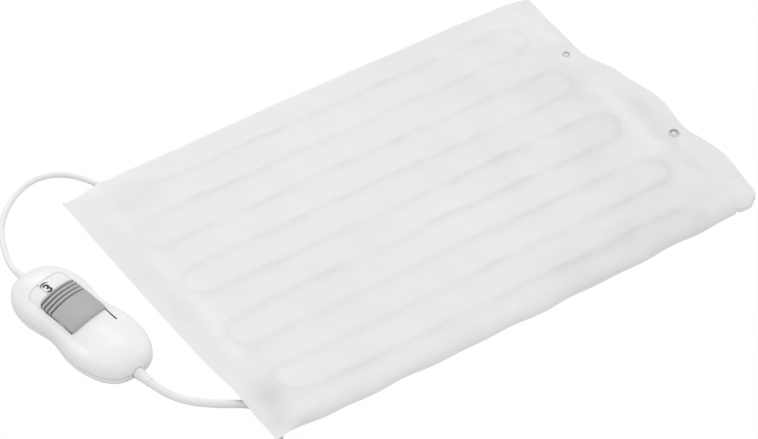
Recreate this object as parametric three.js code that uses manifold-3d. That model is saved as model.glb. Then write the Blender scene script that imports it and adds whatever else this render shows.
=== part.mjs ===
// Electric heating pad in a cloth cover, with a sliding controller on its cord and a coiled mains lead.
// Millimetres, +Z up. The origin is the centre of the pad's underside, on the surface that it lies on.
// +X runs along the pad to the end that the press studs close, and +Y away from the controller's lead.

import * as THREE from "three";
import { mergeVertices } from "three/addons/utils/BufferGeometryUtils.js";
import Module from "manifold-3d";

const wasm = await Module();
wasm.setup();

// Clearances and cutting
const fit_gap = 0.3; // between neighbouring pieces
const cut_overrun = 1.5; // how far a cutting body passes the faces that it cuts

// Cloth cover
const cover_length = 400;
const cover_width = 272;
const cloth_thickness = 1.5;
const seam_height = 4; // the sewn sides' seam line above the floor
const side_bulge = 2.5; // the long sides' swell at mid length
const mouth_height = 5.4; // underside of the top cloth at the open end
const mouth_rise = 1.2; // underside of the bottom cloth at the open end

// Press studs, placed from the open end's edge
const stud_inset = 10;
const stud_y_shares = { far: 0.481, near: -0.3456 }; // of the cover's half width
const stud_cap_radius = 5;
const stud_part_radius = 4.5;
const stud_cap_height = 1.3;
const stud_socket_height = 1.5;
const stud_flange_height = 0.6;
const stud_ball_radius = 1.9;
const stud_ball_height = 1.3;
const stud_back_height = 0.9;
const stud_post_radius = 0.9;
const pinched_cloth_thickness = 0.7;
const pinch_flat = 12.5; // half length along the edge that the stud holds down
const pinch_reach = 25;

// Heating wire, laid in passes with round turns
const wire_diameter = 2.6;
const pass_count = 9;
const wire_margin_left = 22.6; // from the cover's edges to the outermost wire
const wire_margin_mouth = 33.3;
const wire_margin_far = 24.6;
const wire_margin_near = 20.1;
const last_pass_end = 29; // how far the last pass stops short of the turns' line
const wire_sleeve_radius = 1.7;
const wire_sleeve_length = 12;

// Inner pad: two felt sheets with the wire between them
const felt_thickness = 1.8;
const inner_border_ends = 7;
const inner_border_sides = 12;
const valley_drop = 1.8; // how far the sheets sink between the passes
const ridge_flat = 6;
const ridge_reach = 9.4;

// Terminal block in the inner pad's corner
const block_length = 27;
const block_width = 11;
const block_base_height = 4.1;
const block_lid_height = 1;
const block_wall = 1;
const block_offset_y = 2; // beyond the first pass
const cutout_diameter = 2.4;
const cutout_length = 13;

// Cords
const pad_cord_diameter = 4;
const mains_diameter = 5.5;
const coil_turns_per_layer = 7 / 3;
const coil_layers = 4;
const coil_mid_radius = 30.25;
const turn_spacing = 6; // between the centres of neighbouring turns
const coil_steps_per_turn = 24;
const coil_sides = 6;
const tie_thickness = 1;
const tie_width = 9;
const tie_angle_deg = 60;

// Plug
const plug_width = 35.3;
const plug_thickness = 13.7;
const plug_length = 34;
const plug_back_width = 14;
const plug_bevel = 2;
const plug_relief_length = 22;
const plug_relief_root_radius = 4.6;
const plug_relief_tip_radius = 3.6;
const pin_diameter = 4;
const pin_length = 19;
const pin_pitch = 18.6;
const pin_seat = 5; // how deep a pin sits in the plug's body

// Controller
const controller_from_cover = 52;
const controller_y = 23.5;
const controller_turn_deg = 8;
const controller_length = 119;
const lobe_width = 56; // before the ends round it off
const waist_width = 46;
const waist_at = 5;
const waist_spread = 18.5;
const controller_height = 21.1;
const lower_shell_height = 6;
const shell_wall = 2;
const outline_power = 2.9;
const dome_power = 2.6;
const outline_steps = 40;

// Track in the controller's top, its two side slots and the sliding knob
const track_length = 60.2;
const track_width = 32.6;
const track_at = 9.2;
const track_corner_radius = 5;
const track_floor_height = 17; // at the track's sides
const track_floor_crown = 3.1; // how much higher its middle is
const track_floor_thickness = 1.8;
const slot_width = 1.8;
const slot_length = 37.5;
const slot_end_margin = 1.4; // from the track's near end to the slot
const knob_length = 37;
const knob_at = 7.7;
const knob_side_clearance = 0.4;
const knob_thickness = 1.4;
const knob_leg_thickness = 1.2;
const knob_leg_length = 14.5;
const knob_leg_from_end = 0.5;
const grip_count = 4;
const grip_pitch = 3.5;
const grip_width = 1.1;
const grip_depth = 0.7;
const grip_from_end = 2.5;
const switch_step = 5.9; // between the knob's settings
const setting_count = 4;

// Inside the controller
const scale_plate_thickness = 0.4;
const scale_plate_length = 26;
const scale_plate_width = 11;
const carrier_thickness = 2.8;
const carrier_length = 27;
const leg_hook_height = 1;
const leg_hook_reach = 1.2;
const board_thickness = 1.6;
const board_width = 29;
const board_length = 79;
const board_at = 0.2;
const board_height = 5; // underside of the board above the floor
const switch_base_length = 46;
const switch_base_width = 18;
const switch_base_height = 1.8;
const strip_thickness = 0.5;
const strip_width = 3;
const strip_length = 43;
const strip_pitch = 8;
const bridge_thickness = 0.5;
const bridge_length = 16;
const bridge_width = 11;
const detent_width = 3;
const detent_length = 30;
const detent_thickness = 0.4;
const terminal_width = 17;
const terminal_length = 8;
const terminal_hole_radius = 1.6;
const capacitor_length = 13;
const capacitor_width = 6;
const capacitor_height = 3.4;
const fuse_diameter = 5;
const fuse_length = 13;
const power_part_length = 4.5;
const power_part_width = 10;
const power_part_height = 5.2;
const screw_from_side = 9.7;
const screw_y_far = 36;
const screw_y_near = -33;
const screw_head_radius = 2.6;
const screw_head_height = 1.6;
const screw_shank_radius = 1.2;
const screw_length = 12;
const screw_recess = 2.3;
const post_radius = 3.3;
const clamp_length = 5;
const clamp_width = 15;
const clamp_cover = 2.2; // the clamp bar's thickness over the cord
const clamp_gap_to_board = 3;

// Strain reliefs at the controller's two ends
const relief_outside = 13;
const relief_inside = 8;
const relief_flange_length = 2;
const relief_neck_wall = 0.7;
const relief_flange_lip = 0.75;
const relief_collar_lip = 0.65;
const relief_tip_wall = 0.55;

// Smooth fall from 1 at the flat's edge to 0 at the reach.
function fall(distance, flat, reach) {
  const t = Math.min(Math.max((distance - flat) / (reach - flat), 0), 1);
  return 1 - t * t * (3 - 2 * t);
}

function mix(a, b, share) {
  return a + (b - a) * share;
}

function radians(degrees) {
  return THREE.MathUtils.degToRad(degrees);
}

// Solids and joins
function solidOf(geometry) {
  const bare = geometry.index ? geometry.toNonIndexed() : geometry.clone();
  bare.deleteAttribute("normal");
  bare.deleteAttribute("uv");
  const merged = mergeVertices(bare, 1e-3);
  return new wasm.Manifold(
    new wasm.Mesh({
      numProp: 3,
      vertProperties: merged.attributes.position.array,
      triVerts: new Uint32Array(merged.index.array),
    }),
  );
}

function geometryOf(solid) {
  const mesh = solid.getMesh();
  const geometry = new THREE.BufferGeometry();
  geometry.setAttribute("position", new THREE.BufferAttribute(mesh.vertProperties, 3));
  geometry.setIndex(new THREE.BufferAttribute(mesh.triVerts, 1));
  geometry.computeVertexNormals();
  return geometry;
}

function box(width, length, height, x, y, z_low) {
  return new THREE.BoxGeometry(width, length, height).translate(x, y, z_low + height / 2);
}

// A lathe body about +Z from (radius, height) pairs that start and end on the axis.
function turned(profile, segments) {
  const points = profile.map(([radius, height]) => new THREE.Vector2(radius, height));
  return new THREE.LatheGeometry(points, segments).rotateX(Math.PI / 2);
}

// An upright prism over an outline.
function prism(shape, height, z_low) {
  return new THREE.ExtrudeGeometry(shape, { depth: height, bevelEnabled: false, curveSegments: 5 }).translate(
    0,
    0,
    z_low,
  );
}

function cylinderAlongY(radius, length, x, y_mid, z, segments) {
  return new THREE.CylinderGeometry(radius, radius, length, segments).translate(x, y_mid, z);
}

// A closed body through rings of equal point counts, low ring first, each ring anticlockwise from above.
function loft(rings) {
  const count = rings[0].length;
  const positions = rings.flat(2);
  const index = [];
  for (let k = 0; k + 1 < rings.length; k++)
    for (let i = 0; i < count; i++) {
      const a = k * count + i;
      const b = k * count + ((i + 1) % count);
      index.push(a, b, b + count, a, b + count, a + count);
    }
  const ends = [
    [rings[0], 0, true],
    [rings.at(-1), (rings.length - 1) * count, false],
  ];
  for (const [ring, first, facing_down] of ends) {
    const centre = positions.length / 3;
    for (let axis = 0; axis < 3; axis++) positions.push(ring.reduce((sum, p) => sum + p[axis], 0) / count);
    for (let i = 0; i < count; i++) {
      const a = first + i;
      const b = first + ((i + 1) % count);
      index.push(centre, facing_down ? b : a, facing_down ? a : b);
    }
  }
  const geometry = new THREE.BufferGeometry();
  geometry.setAttribute("position", new THREE.Float32BufferAttribute(positions, 3));
  geometry.setIndex(index);
  geometry.computeVertexNormals();
  return geometry;
}

// A closed round tube whose rings stand at the given points.
function tube(points, radius, sides) {
  const tangents = points.map((p, i) => {
    const before = points[Math.max(i - 1, 0)];
    const after = points[Math.min(i + 1, points.length - 1)];
    return after.clone().sub(before).normalize();
  });
  const rings = points.map((p, i) => {
    const across = new THREE.Vector3(-tangents[i].y, tangents[i].x, 0).normalize();
    const up = new THREE.Vector3().crossVectors(tangents[i], across);
    return Array.from({ length: sides }, (_, k) => {
      const angle = ((k + 0.5) / sides) * 2 * Math.PI;
      const at = p.clone().addScaledVector(across, radius * Math.cos(angle));
      return at.addScaledVector(up, radius * Math.sin(angle)).toArray();
    });
  });
  return loft(rings);
}

// A tube along a smooth curve through hand-chosen points.
function cordAlong(points, diameter, sides, diameters_per_step) {
  const route = new THREE.CatmullRomCurve3(
    points.map((p) => new THREE.Vector3(...p)),
    false,
    "centripetal",
  );
  const section = new THREE.Shape(
    Array.from({ length: sides }, (_, k) => {
      const angle = ((k + 0.5) / sides) * 2 * Math.PI;
      return new THREE.Vector2(Math.cos(angle), Math.sin(angle)).multiplyScalar(diameter / 2);
    }),
  );
  const steps = Math.round(route.getLength() / (diameters_per_step * diameter));
  return new THREE.ExtrudeGeometry(section, { steps, extrudePath: route });
}

// Materials
function plastic(color, roughness) {
  return () => new THREE.MeshStandardMaterial({ color, roughness, metalness: 0 });
}

function metal(color, roughness) {
  return () => new THREE.MeshStandardMaterial({ color, roughness, metalness: 1 });
}

const cloth_white = plastic(0xe9e9ea, 0.95);
const felt_white = plastic(0xdcdad4, 1);
const shell_white = plastic(0xf1f1f1, 0.3);
const soft_white = plastic(0xe8e8e8, 0.5);
const knob_grey = plastic(0xa9a9aa, 0.45);
const scale_pale = plastic(0xdedede, 0.4);
const wire_red = plastic(0x9c4a3c, 0.6);
const part_black = plastic(0x2b2b2d, 0.5);
const part_yellow = plastic(0xc9a23a, 0.5);
const board_green = plastic(0x2f6b46, 0.5);
const brass = metal(0xc7a457, 0.35);
const steel = metal(0xb9bcc0, 0.35);

const assembly = new THREE.Group();

function addPiece(group, name, geometry, material) {
  const piece = new THREE.Mesh(geometry, material());
  piece.name = name;
  group.add(piece);
  return piece;
}

// Heating wire's plan: passes along X, joined by half circles of half the pitch
const left_x = -cover_length / 2;
const half_width = cover_width / 2;
const pass_pitch = (cover_width - wire_margin_far - wire_margin_near) / (pass_count - 1);
const turn_radius = pass_pitch / 2;
const turns_low_x = left_x + wire_margin_left;
const turns_high_x = cover_length / 2 - wire_margin_mouth;
const straight_low_x = turns_low_x + turn_radius;
const straight_high_x = turns_high_x - turn_radius;

function passY(index) {
  return half_width - wire_margin_far - index * pass_pitch;
}

const block_low_x = turns_low_x + turn_radius * 0.42;
const block_high_x = block_low_x + block_length;
const block_y = passY(0) + block_offset_y;
const wire_start_x = block_high_x + fit_gap;
const wire_end_x = turns_high_x - last_pass_end;

// Inner pad's edges
const inner_low_x = turns_low_x - inner_border_ends;
const inner_high_x = turns_high_x + inner_border_ends;
const inner_high_y = passY(0) + inner_border_sides;
const inner_low_y = passY(pass_count - 1) - inner_border_sides;

// Distance in plan from the nearest point of the wire's centre line.
function wireDistance(x, y) {
  let least = Infinity;
  for (let i = 0; i < pass_count; i++) {
    const low = i === 0 ? wire_start_x : straight_low_x;
    const dx = Math.max(low - x, 0, x - straight_high_x);
    least = Math.min(least, Math.hypot(dx, y - passY(i)));
    if (i + 1 < pass_count) {
      const at_high_end = i % 2 === 0;
      const centre_x = at_high_end ? straight_high_x : straight_low_x;
      const outward = at_high_end ? x - centre_x : centre_x - x;
      const dy = y - (passY(i) - turn_radius);
      if (outward >= 0) least = Math.min(least, Math.abs(Math.hypot(outward, dy) - turn_radius));
    }
  }
  return least;
}

// The open end's edge: x beyond the cover's nominal end, at shares of the half width from near to far
const mouth_shares = [-1, -0.9, -0.6, -0.345, -0.1, 0.2, 0.45, 0.7, 1];
const mouth_offset_shares = [0.003, 0.014, 0.024, 0.013, 0.023, 0.008, -0.016, -0.012, -0.006];

function mouthX(y) {
  const curve = mouth_shares.map((share, i) => [
    (share * cover_width) / 2,
    cover_length / 2 + mouth_offset_shares[i] * cover_length,
  ]);
  const i = Math.min(Math.max(curve.findIndex(([at]) => at >= y) - 1, 0), curve.length - 2);
  const [y0, x0] = curve[i];
  const [y1, x1] = curve[i + 1];
  const t = Math.min(Math.max((y - y0) / (y1 - y0), 0), 1);
  return mix(x0, x1, t * t * (3 - 2 * t));
}

const studs = Object.entries(stud_y_shares).map(([name, share]) => {
  const y = share * half_width;
  return { name, y, x: mouthX(y) - stud_inset };
});

// Levels of the layers over the flat floor
const felt_low = cloth_thickness + fit_gap;
const wire_low = felt_low + felt_thickness + fit_gap;
const wire_level = wire_low + wire_diameter / 2;
const felt_crest = wire_low + wire_diameter + fit_gap;
const felt_valley = felt_crest - valley_drop;
const block_top = wire_low + block_base_height + fit_gap + block_lid_height;
const pad_cord_block_level = wire_low + block_base_height / 2;

// Press stud levels, bottom to top
const stud_cloth_low = mouth_rise;
const stud_flange_level = stud_cloth_low + pinched_cloth_thickness + fit_gap;
const stud_socket_level = stud_flange_level + stud_flange_height + fit_gap;
const stud_upper_cloth = stud_socket_level + stud_socket_height + fit_gap;
const stud_cap_level = stud_upper_cloth + pinched_cloth_thickness + fit_gap;

// Cord between the pad and the controller, from the terminal block out through the far side
const pad_cord_x = block_low_x + pad_cord_diameter / 2 + block_wall;
const pad_cord_points = [
  [pad_cord_x, block_y + block_width / 2 + fit_gap, pad_cord_block_level],
  [pad_cord_x, 126, 5.9],
  [-169, 132, 5.1],
  [-169.4, 138, 4.2],
  [-170.6, 144.5, 3],
  [-173.6, 152, 2.2],
  [-178.9, 160, 2],
  [-187.3, 167, 2],
  [-197.4, 170.6, 2],
  [-207.8, 170.2, 2],
  [-218.5, 166.2, 2],
  [-229.7, 159, 2],
  [-239.4, 150.1, 2],
  [-246.2, 141.2, 2.1],
  [-251.9, 130.6, 2.6],
  [-256.4, 119.1, 3.5],
  [-259.5, 110.4, 4.6],
  [-261.7, 101.9, 5.7],
];

// Mains lead from the controller, under the cover's near left corner, to the coil
const mains_points = [
  [-241.4, -49.6, 6.1],
  [-239.6, -55.4, 5.4],
  [-236.4, -62, 4.2],
  [-231.9, -68.9, 3.2],
  [-226.4, -75.4, 2.75],
  [-220.2, -81.4, 2.75],
  [-213.6, -86.8, 2.75],
  [-206.9, -91.5, 2.75],
  [-200, -96.4, 2.75],
  [-194.4, -101.9, 2.75],
  [-190.7, -108.6, 2.75],
  [-189.7, -115.3, 2.75],
  [-190.9, -122.4, 2.75],
  [-194.1, -128.8, 2.75],
  [-198.6, -136.6, 2.75],
  [-205.6, -148.7, 2.75],
  [-213.6, -162.6, 2.75],
  [-221.6, -176.4, 3],
  [-227.6, -186.8, 3.5],
  [-232.6, -195.4, 3.75],
  [-235.25, -200, 3.75],
];

// Coil: its centre is to the left of the lead as it arrives
const coil_entry = new THREE.Vector3(-238.3, -205.3, mains_diameter / 2 + tie_thickness);
const coil_heading_deg = -120;
const coil_outer_radius = coil_mid_radius + (coil_turns_per_layer * turn_spacing) / 2;
const coil_start_angle = radians(coil_heading_deg - 90);
const coil_centre = new THREE.Vector3(
  coil_entry.x - coil_outer_radius * Math.cos(coil_start_angle),
  coil_entry.y - coil_outer_radius * Math.sin(coil_start_angle),
  coil_entry.z,
);
const coil_turns = coil_turns_per_layer * coil_layers;

// How far the cover is raised over the mains lead that passes under its corner
const lead_lift = mains_diameter + 2 * fit_gap;
const lead_lift_flat = mains_diameter * 0.8;
const lead_lift_reach = mains_diameter * 8;
const lead_under_cover = mains_points.filter(([x]) => x > left_x - mains_diameter);

function leadDistance(x, y) {
  let least = Infinity;
  for (let i = 0; i + 1 < lead_under_cover.length; i++) {
    const [x0, y0] = lead_under_cover[i];
    const [x1, y1] = lead_under_cover[i + 1];
    const length_squared = (x1 - x0) ** 2 + (y1 - y0) ** 2;
    const along = ((x - x0) * (x1 - x0) + (y - y0) * (y1 - y0)) / length_squared;
    const t = Math.min(Math.max(along, 0), 1);
    least = Math.min(least, Math.hypot(x - mix(x0, x1, t), y - mix(y0, y1, t)));
  }
  return least;
}

function liftAt(x, y) {
  return lead_lift * fall(leadDistance(x, y), lead_lift_flat, lead_lift_reach);
}

// Lines of the sheets' common grid, from the left end to the open end and from near to far
const left_margin = inner_low_x - left_x;
const block_clear_x = block_high_x + 2 * fit_gap;
const left_lines = [
  left_x,
  left_x + left_margin * 0.33,
  left_x + left_margin * 0.67,
  inner_low_x,
  turns_low_x,
  block_low_x - 2 * fit_gap,
  straight_low_x - turn_radius * 0.16,
  straight_low_x + turn_radius * 0.5,
  block_clear_x,
  block_clear_x + turn_radius * 0.7,
];
const turn_lines = [straight_high_x, straight_high_x + turn_radius * 0.5, turns_high_x, inner_high_x];
const middle_lines = [mix(left_lines.at(-1), straight_high_x, 1 / 3), mix(left_lines.at(-1), straight_high_x, 2 / 3)];
const mouth_line_insets = [stud_inset + stud_cap_radius + 2 * fit_gap, stud_inset - stud_cap_radius - 2 * fit_gap, 0];

const pass_lines = [];
for (let i = 0; i < pass_count; i++) {
  pass_lines.push(passY(i));
  if (i === 0) pass_lines.push(block_y - block_width / 2 - 2 * fit_gap);
  if (i + 1 < pass_count) pass_lines.push(passY(i) - pass_pitch / 3, passY(i) - (2 * pass_pitch) / 3);
}
const row_lines = [
  -half_width,
  mix(-half_width, inner_low_y, 0.5),
  inner_low_y,
  ...pass_lines.reverse(),
  inner_high_y,
  mix(inner_high_y, half_width, 0.55),
  half_width,
];

// Share of its full height that the top cloth has reached, by how far a place lies inside the sewn sides
function fullness(x, y) {
  const from_left = (x - left_x) / left_margin;
  const from_near = (y + half_width) / (inner_low_y + half_width);
  const from_far = (half_width - y) / (half_width - inner_high_y);
  return Math.min(Math.max(Math.min(from_left, from_near, from_far), 0), 1);
}

// How much of the terminal block's height the sheets stand up by
function blockShare(x, y) {
  const over_block = Math.hypot(
    Math.max(block_low_x - 2 * fit_gap - x, 0, x - block_clear_x),
    Math.max(block_y - block_width / 2 - 2 * fit_gap - y, 0),
  );
  const cord_half = pad_cord_diameter / 2 + fit_gap;
  const over_cord = Math.max(Math.abs(x - pad_cord_x) - 2 * cord_half, 0);
  const distance = y > inner_high_y ? over_cord : over_block;
  return fall(distance, 0, turn_radius / 2);
}

function ridgeAt(x, y) {
  return fall(wireDistance(x, y), ridge_flat, ridge_reach);
}

// Which way a cell of the grid is split: along the diagonal that keeps the wire's ridge whole
function splitOtherWay(x0, y0, x1, y1) {
  return ridgeAt(x0, y0) + ridgeAt(x1, y1) < ridgeAt(x0, y1) + ridgeAt(x1, y0);
}

function feltUnder(x, y) {
  const over_wire = mix(felt_valley, felt_crest, ridgeAt(x, y));
  return Math.max(over_wire, mix(felt_valley, block_top + fit_gap, blockShare(x, y)));
}

// A place on the grid: its logical lines bent to the cover's outline
function place(x_line, y_line, mouth_inset) {
  const bulge = side_bulge * (1 - ((2 * x_line) / cover_length) ** 2);
  const beyond_far = Math.max((y_line - inner_high_y) / (half_width - inner_high_y), 0);
  const beyond_near = Math.max((inner_low_y - y_line) / (inner_low_y + half_width), 0);
  const y = y_line + bulge * (beyond_far - beyond_near);
  const x = mouth_inset === undefined ? x_line : mouthX(y_line) - mouth_inset;
  return { x, y, x_line, y_line, fullness: fullness(x, y_line), mouth_inset };
}

function pinchAt(spot) {
  if (spot.mouth_inset === undefined) return 0;
  const along = Math.max(...studs.map((stud) => fall(Math.abs(spot.y - stud.y), pinch_flat, pinch_reach)));
  return spot.mouth_inset === 0 ? along / 2 : along;
}

function topClothUnder(spot) {
  const over_felt = feltUnder(spot.x, spot.y) + felt_thickness + fit_gap;
  const open_end = spot.mouth_inset === undefined ? over_felt : mouth_height;
  const full = mix(open_end, stud_upper_cloth, pinchAt(spot));
  const seam = seam_height + fit_gap / 2;
  const tunnel = spot.y > inner_high_y ? blockShare(spot.x, spot.y) : 0;
  const edge = mix(seam, pad_cord_points[3][2] + pad_cord_diameter / 2 + 2 * fit_gap, tunnel);
  const rise = Math.sqrt(1 - (1 - spot.fullness) ** 2);
  return mix(edge, full, rise) + liftAt(spot.x, spot.y);
}

function topClothThickness(spot) {
  return mix(cloth_thickness, pinched_cloth_thickness, pinchAt(spot));
}

function bottomClothUnder(spot) {
  const seam = seam_height - fit_gap / 2 - cloth_thickness;
  const tunnel = spot.y > inner_high_y ? blockShare(spot.x, spot.y) : 0;
  const edge = mix(seam, 0, tunnel);
  const open_end = spot.mouth_inset === undefined ? 0 : mouth_rise;
  return mix(edge, open_end, spot.fullness ** 0.5) + liftAt(spot.x, spot.y);
}

function bottomClothThickness(spot) {
  return spot.mouth_inset === undefined ? cloth_thickness : pinched_cloth_thickness;
}

// A closed sheet over a grid of places, between a lower surface and a thickness above it
function sheet(columns, under, thickness) {
  const rows = columns[0].length;
  const positions = [];
  for (const upper of [false, true])
    for (const column of columns)
      for (const spot of column)
        positions.push(spot.x, spot.y, under(spot) + (upper ? thickness(spot) : 0));
  const layer = columns.length * rows;
  const index = [];
  const quad = (a, b, c, d) => index.push(a, b, c, a, c, d);
  for (let i = 0; i + 1 < columns.length; i++)
    for (let j = 0; j + 1 < rows; j++) {
      const a = i * rows + j;
      const low = columns[i][j];
      const high = columns[i + 1][j + 1];
      if (splitOtherWay(low.x_line, low.y_line, high.x_line, high.y_line)) {
        quad(layer + a + rows, layer + a + rows + 1, layer + a + 1, layer + a);
        quad(a + rows, a, a + 1, a + rows + 1);
      } else {
        quad(layer + a, layer + a + rows, layer + a + rows + 1, layer + a + 1);
        quad(a, a + 1, a + rows + 1, a + rows);
      }
    }
  for (let i = 0; i + 1 < columns.length; i++) {
    const a = i * rows;
    const b = a + rows - 1;
    quad(a, a + rows, layer + a + rows, layer + a);
    quad(b + rows, b, layer + b, layer + b + rows);
  }
  for (let j = 0; j + 1 < rows; j++) {
    const a = j;
    const b = (columns.length - 1) * rows + j;
    quad(a + 1, a, layer + a, layer + a + 1);
    quad(b, b + 1, layer + b + 1, layer + b);
  }
  const geometry = new THREE.BufferGeometry();
  geometry.setAttribute("position", new THREE.Float32BufferAttribute(positions, 3));
  geometry.setIndex(index);
  geometry.computeVertexNormals();
  return geometry;
}

function gridOf(x_lines, y_lines, mouth_insets) {
  const columns = x_lines.map((x) => y_lines.map((y) => place(x, y)));
  const mouth = mouth_insets.map((inset) => y_lines.map((y) => place(cover_length / 2, y, inset)));
  return [...columns, ...mouth];
}

function studHole(stud, z_low, z_high) {
  const hole = new THREE.CylinderGeometry(
    stud_post_radius + fit_gap,
    stud_post_radius + fit_gap,
    z_high - z_low + 2 * cut_overrun,
    6,
  );
  return hole.rotateX(Math.PI / 2).translate(stud.x, stud.y, (z_low + z_high) / 2);
}

function withStudHoles(geometry, z_low, z_high) {
  let solid = solidOf(geometry);
  for (const stud of studs) solid = solid.subtract(solidOf(studHole(stud, z_low, z_high)));
  return geometryOf(solid);
}

// Cover
const all_lines = [...left_lines, ...middle_lines, ...turn_lines];
const top_cloth = sheet(gridOf(all_lines, row_lines, mouth_line_insets), topClothUnder, topClothThickness);
addPiece(
  assembly,
  "cover_top_cloth",
  withStudHoles(top_cloth, stud_upper_cloth, stud_upper_cloth + pinched_cloth_thickness),
  cloth_white,
);

const corner_y = inner_low_y + 3 * pass_pitch;
const bottom_rows = row_lines.filter((y, j) => y < corner_y || y > passY(0) || j % 3 === 0);
const bottom_lines = [...left_lines, inner_high_x];
const bottom_cloth = sheet(
  gridOf(bottom_lines, bottom_rows, mouth_line_insets),
  bottomClothUnder,
  bottomClothThickness,
);
addPiece(
  assembly,
  "cover_bottom_cloth",
  withStudHoles(bottom_cloth, stud_cloth_low, stud_cloth_low + pinched_cloth_thickness),
  cloth_white,
);

// Press studs: cap and socket hold the top cloth, stud and back hold the bottom cloth
function studPieces(stud) {
  const cap_post = stud_cap_level - stud_socket_level - stud_ball_height - fit_gap;
  const cap = turned(
    [
      [0, -cap_post],
      [stud_post_radius, -cap_post],
      [stud_post_radius, 0],
      [stud_cap_radius * 0.96, 0],
      [stud_cap_radius, stud_cap_height * 0.3],
      [stud_cap_radius * 0.82, stud_cap_height * 0.8],
      [stud_cap_radius * 0.45, stud_cap_height],
      [0, stud_cap_height],
    ],
    16,
  );
  const bore = stud_ball_radius + fit_gap;
  const web = stud_ball_height;
  const socket = turned(
    [
      [bore, 0],
      [stud_part_radius, 0],
      [stud_part_radius, stud_socket_height * 0.5],
      [stud_part_radius * 0.8, stud_socket_height],
      [stud_post_radius + fit_gap, stud_socket_height],
      [stud_post_radius + fit_gap, web],
      [bore, web],
      [bore, 0],
    ],
    16,
  );
  const ball_top = stud_flange_height + stud_ball_height - fit_gap;
  const inner_post = stud_post_radius + fit_gap;
  const male = turned(
    [
      [inner_post, 0],
      [stud_part_radius, 0],
      [stud_part_radius, stud_flange_height],
      [stud_ball_radius, stud_flange_height],
      [stud_ball_radius, ball_top],
      [inner_post, ball_top],
      [inner_post, 0],
    ],
    16,
  );
  const back_post = stud_flange_level + stud_flange_height;
  const back = turned(
    [
      [0, 0],
      [stud_part_radius, 0],
      [stud_part_radius, stud_back_height],
      [stud_post_radius, stud_back_height],
      [stud_post_radius, back_post],
      [0, back_post],
    ],
    16,
  );
  return [
    ["cap", cap, stud_cap_level],
    ["socket", socket, stud_socket_level],
    ["stud", male, stud_flange_level],
    ["back", back, 0],
  ];
}

for (const stud of studs)
  for (const [part, geometry, level] of studPieces(stud)) {
    const piece = addPiece(assembly, `press_stud_${stud.name}_${part}`, geometry, soft_white);
    piece.position.set(stud.x, stud.y, level);
  }

// Inner pad's two felt sheets
const inner_rows = row_lines.filter((y) => y >= inner_low_y && y <= inner_high_y);
const inner_lines = [...left_lines.slice(3), ...turn_lines];
const felt_edge_under = felt_low + felt_thickness + fit_gap;

function topFeltUnder(spot) {
  const at_edge =
    spot.x === inner_low_x || spot.x === inner_high_x || spot.y === inner_low_y || spot.y === inner_high_y;
  const tucked = at_edge && blockShare(spot.x, spot.y) === 0;
  return (tucked ? felt_edge_under : feltUnder(spot.x, spot.y)) + liftAt(spot.x, spot.y);
}

addPiece(
  assembly,
  "inner_pad_top_felt",
  sheet(gridOf(inner_lines, inner_rows, []), topFeltUnder, () => felt_thickness),
  felt_white,
);

const felt_rows = inner_rows.filter((y, j) => y < corner_y || j === inner_rows.length - 1);
addPiece(
  assembly,
  "inner_pad_bottom_felt",
  sheet(
    gridOf([...left_lines.slice(3), inner_high_x], felt_rows, []),
    (spot) => felt_low + liftAt(spot.x, spot.y),
    () => felt_thickness,
  ),
  felt_white,
);

// The lift that the sheets' grid has at a place between its lines
function griddedLift(x, y) {
  const i = Math.min(Math.max(left_lines.findIndex((line) => line > x), 1), left_lines.length - 1);
  const j = Math.min(Math.max(row_lines.findIndex((line) => line > y), 1), row_lines.length - 1);
  const [x0, x1] = [left_lines[i - 1], left_lines[i]];
  const [y0, y1] = [row_lines[j - 1], row_lines[j]];
  const across = (x - x0) / (x1 - x0);
  const along = (y - y0) / (y1 - y0);
  const low_high = liftAt(x0, y1);
  const high_low = liftAt(x1, y0);
  if (splitOtherWay(x0, y0, x1, y1)) {
    const near = across + along < 1;
    const corner = near ? liftAt(x0, y0) : liftAt(x1, y1);
    const to_x = near ? across : 1 - along;
    const to_y = near ? along : 1 - across;
    return (1 - to_x - to_y) * corner + to_x * high_low + to_y * low_high;
  }
  const [more, less, side] = across > along ? [across, along, high_low] : [along, across, low_high];
  return (1 - more) * liftAt(x0, y0) + (more - less) * side + less * liftAt(x1, y1);
}

// Heating wire
function wirePoints() {
  const points = [];
  const add = (x, y) => {
    const lift = x < left_lines.at(-1) ? griddedLift(x, y) : 0;
    points.push(new THREE.Vector3(x, y, wire_level + lift));
  };
  const turn_steps = 8;
  for (let i = 0; i < pass_count; i++) {
    const to_high = i % 2 === 0;
    const low = i === 0 ? wire_start_x : straight_low_x;
    const high = i === pass_count - 1 ? wire_end_x - fit_gap : straight_high_x;
    const between = left_lines.filter((x) => x > low && x < high);
    const stops = [low, ...between, high];
    for (const x of to_high ? stops : stops.reverse()) add(x, passY(i));
    if (i + 1 === pass_count) continue;
    for (let k = 1; k < turn_steps; k++) {
      const angle = (k / turn_steps) * Math.PI;
      const reach = turn_radius * Math.sin(angle);
      const x = to_high ? straight_high_x + reach : straight_low_x - reach;
      add(x, passY(i) - turn_radius * (1 - Math.cos(angle)));
    }
  }
  return points;
}

addPiece(assembly, "heating_wire", tube(wirePoints(), wire_diameter / 2, 6), wire_red);

const sleeve = turned(
  [
    [0, 0],
    [wire_sleeve_radius * 0.7, 0],
    [wire_sleeve_radius * 0.75, wire_sleeve_length],
    [0, wire_sleeve_length],
  ],
  10,
);
sleeve.rotateY(Math.PI / 2).translate(wire_end_x, passY(pass_count - 1), wire_level);
addPiece(assembly, "wire_end_sleeve", sleeve, part_black);

// Terminal block with its lid, and the thermal cut-out inside it
function blockBase() {
  const x_mid = (block_low_x + block_high_x) / 2;
  const outer = solidOf(box(block_length, block_width, block_base_height, x_mid, block_y, wire_low));
  const hollow = box(
    block_length - 2 * block_wall,
    block_width - 2 * block_wall,
    block_base_height + cut_overrun,
    x_mid,
    block_y,
    wire_low + block_wall,
  );
  return geometryOf(outer.subtract(solidOf(hollow)));
}

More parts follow.
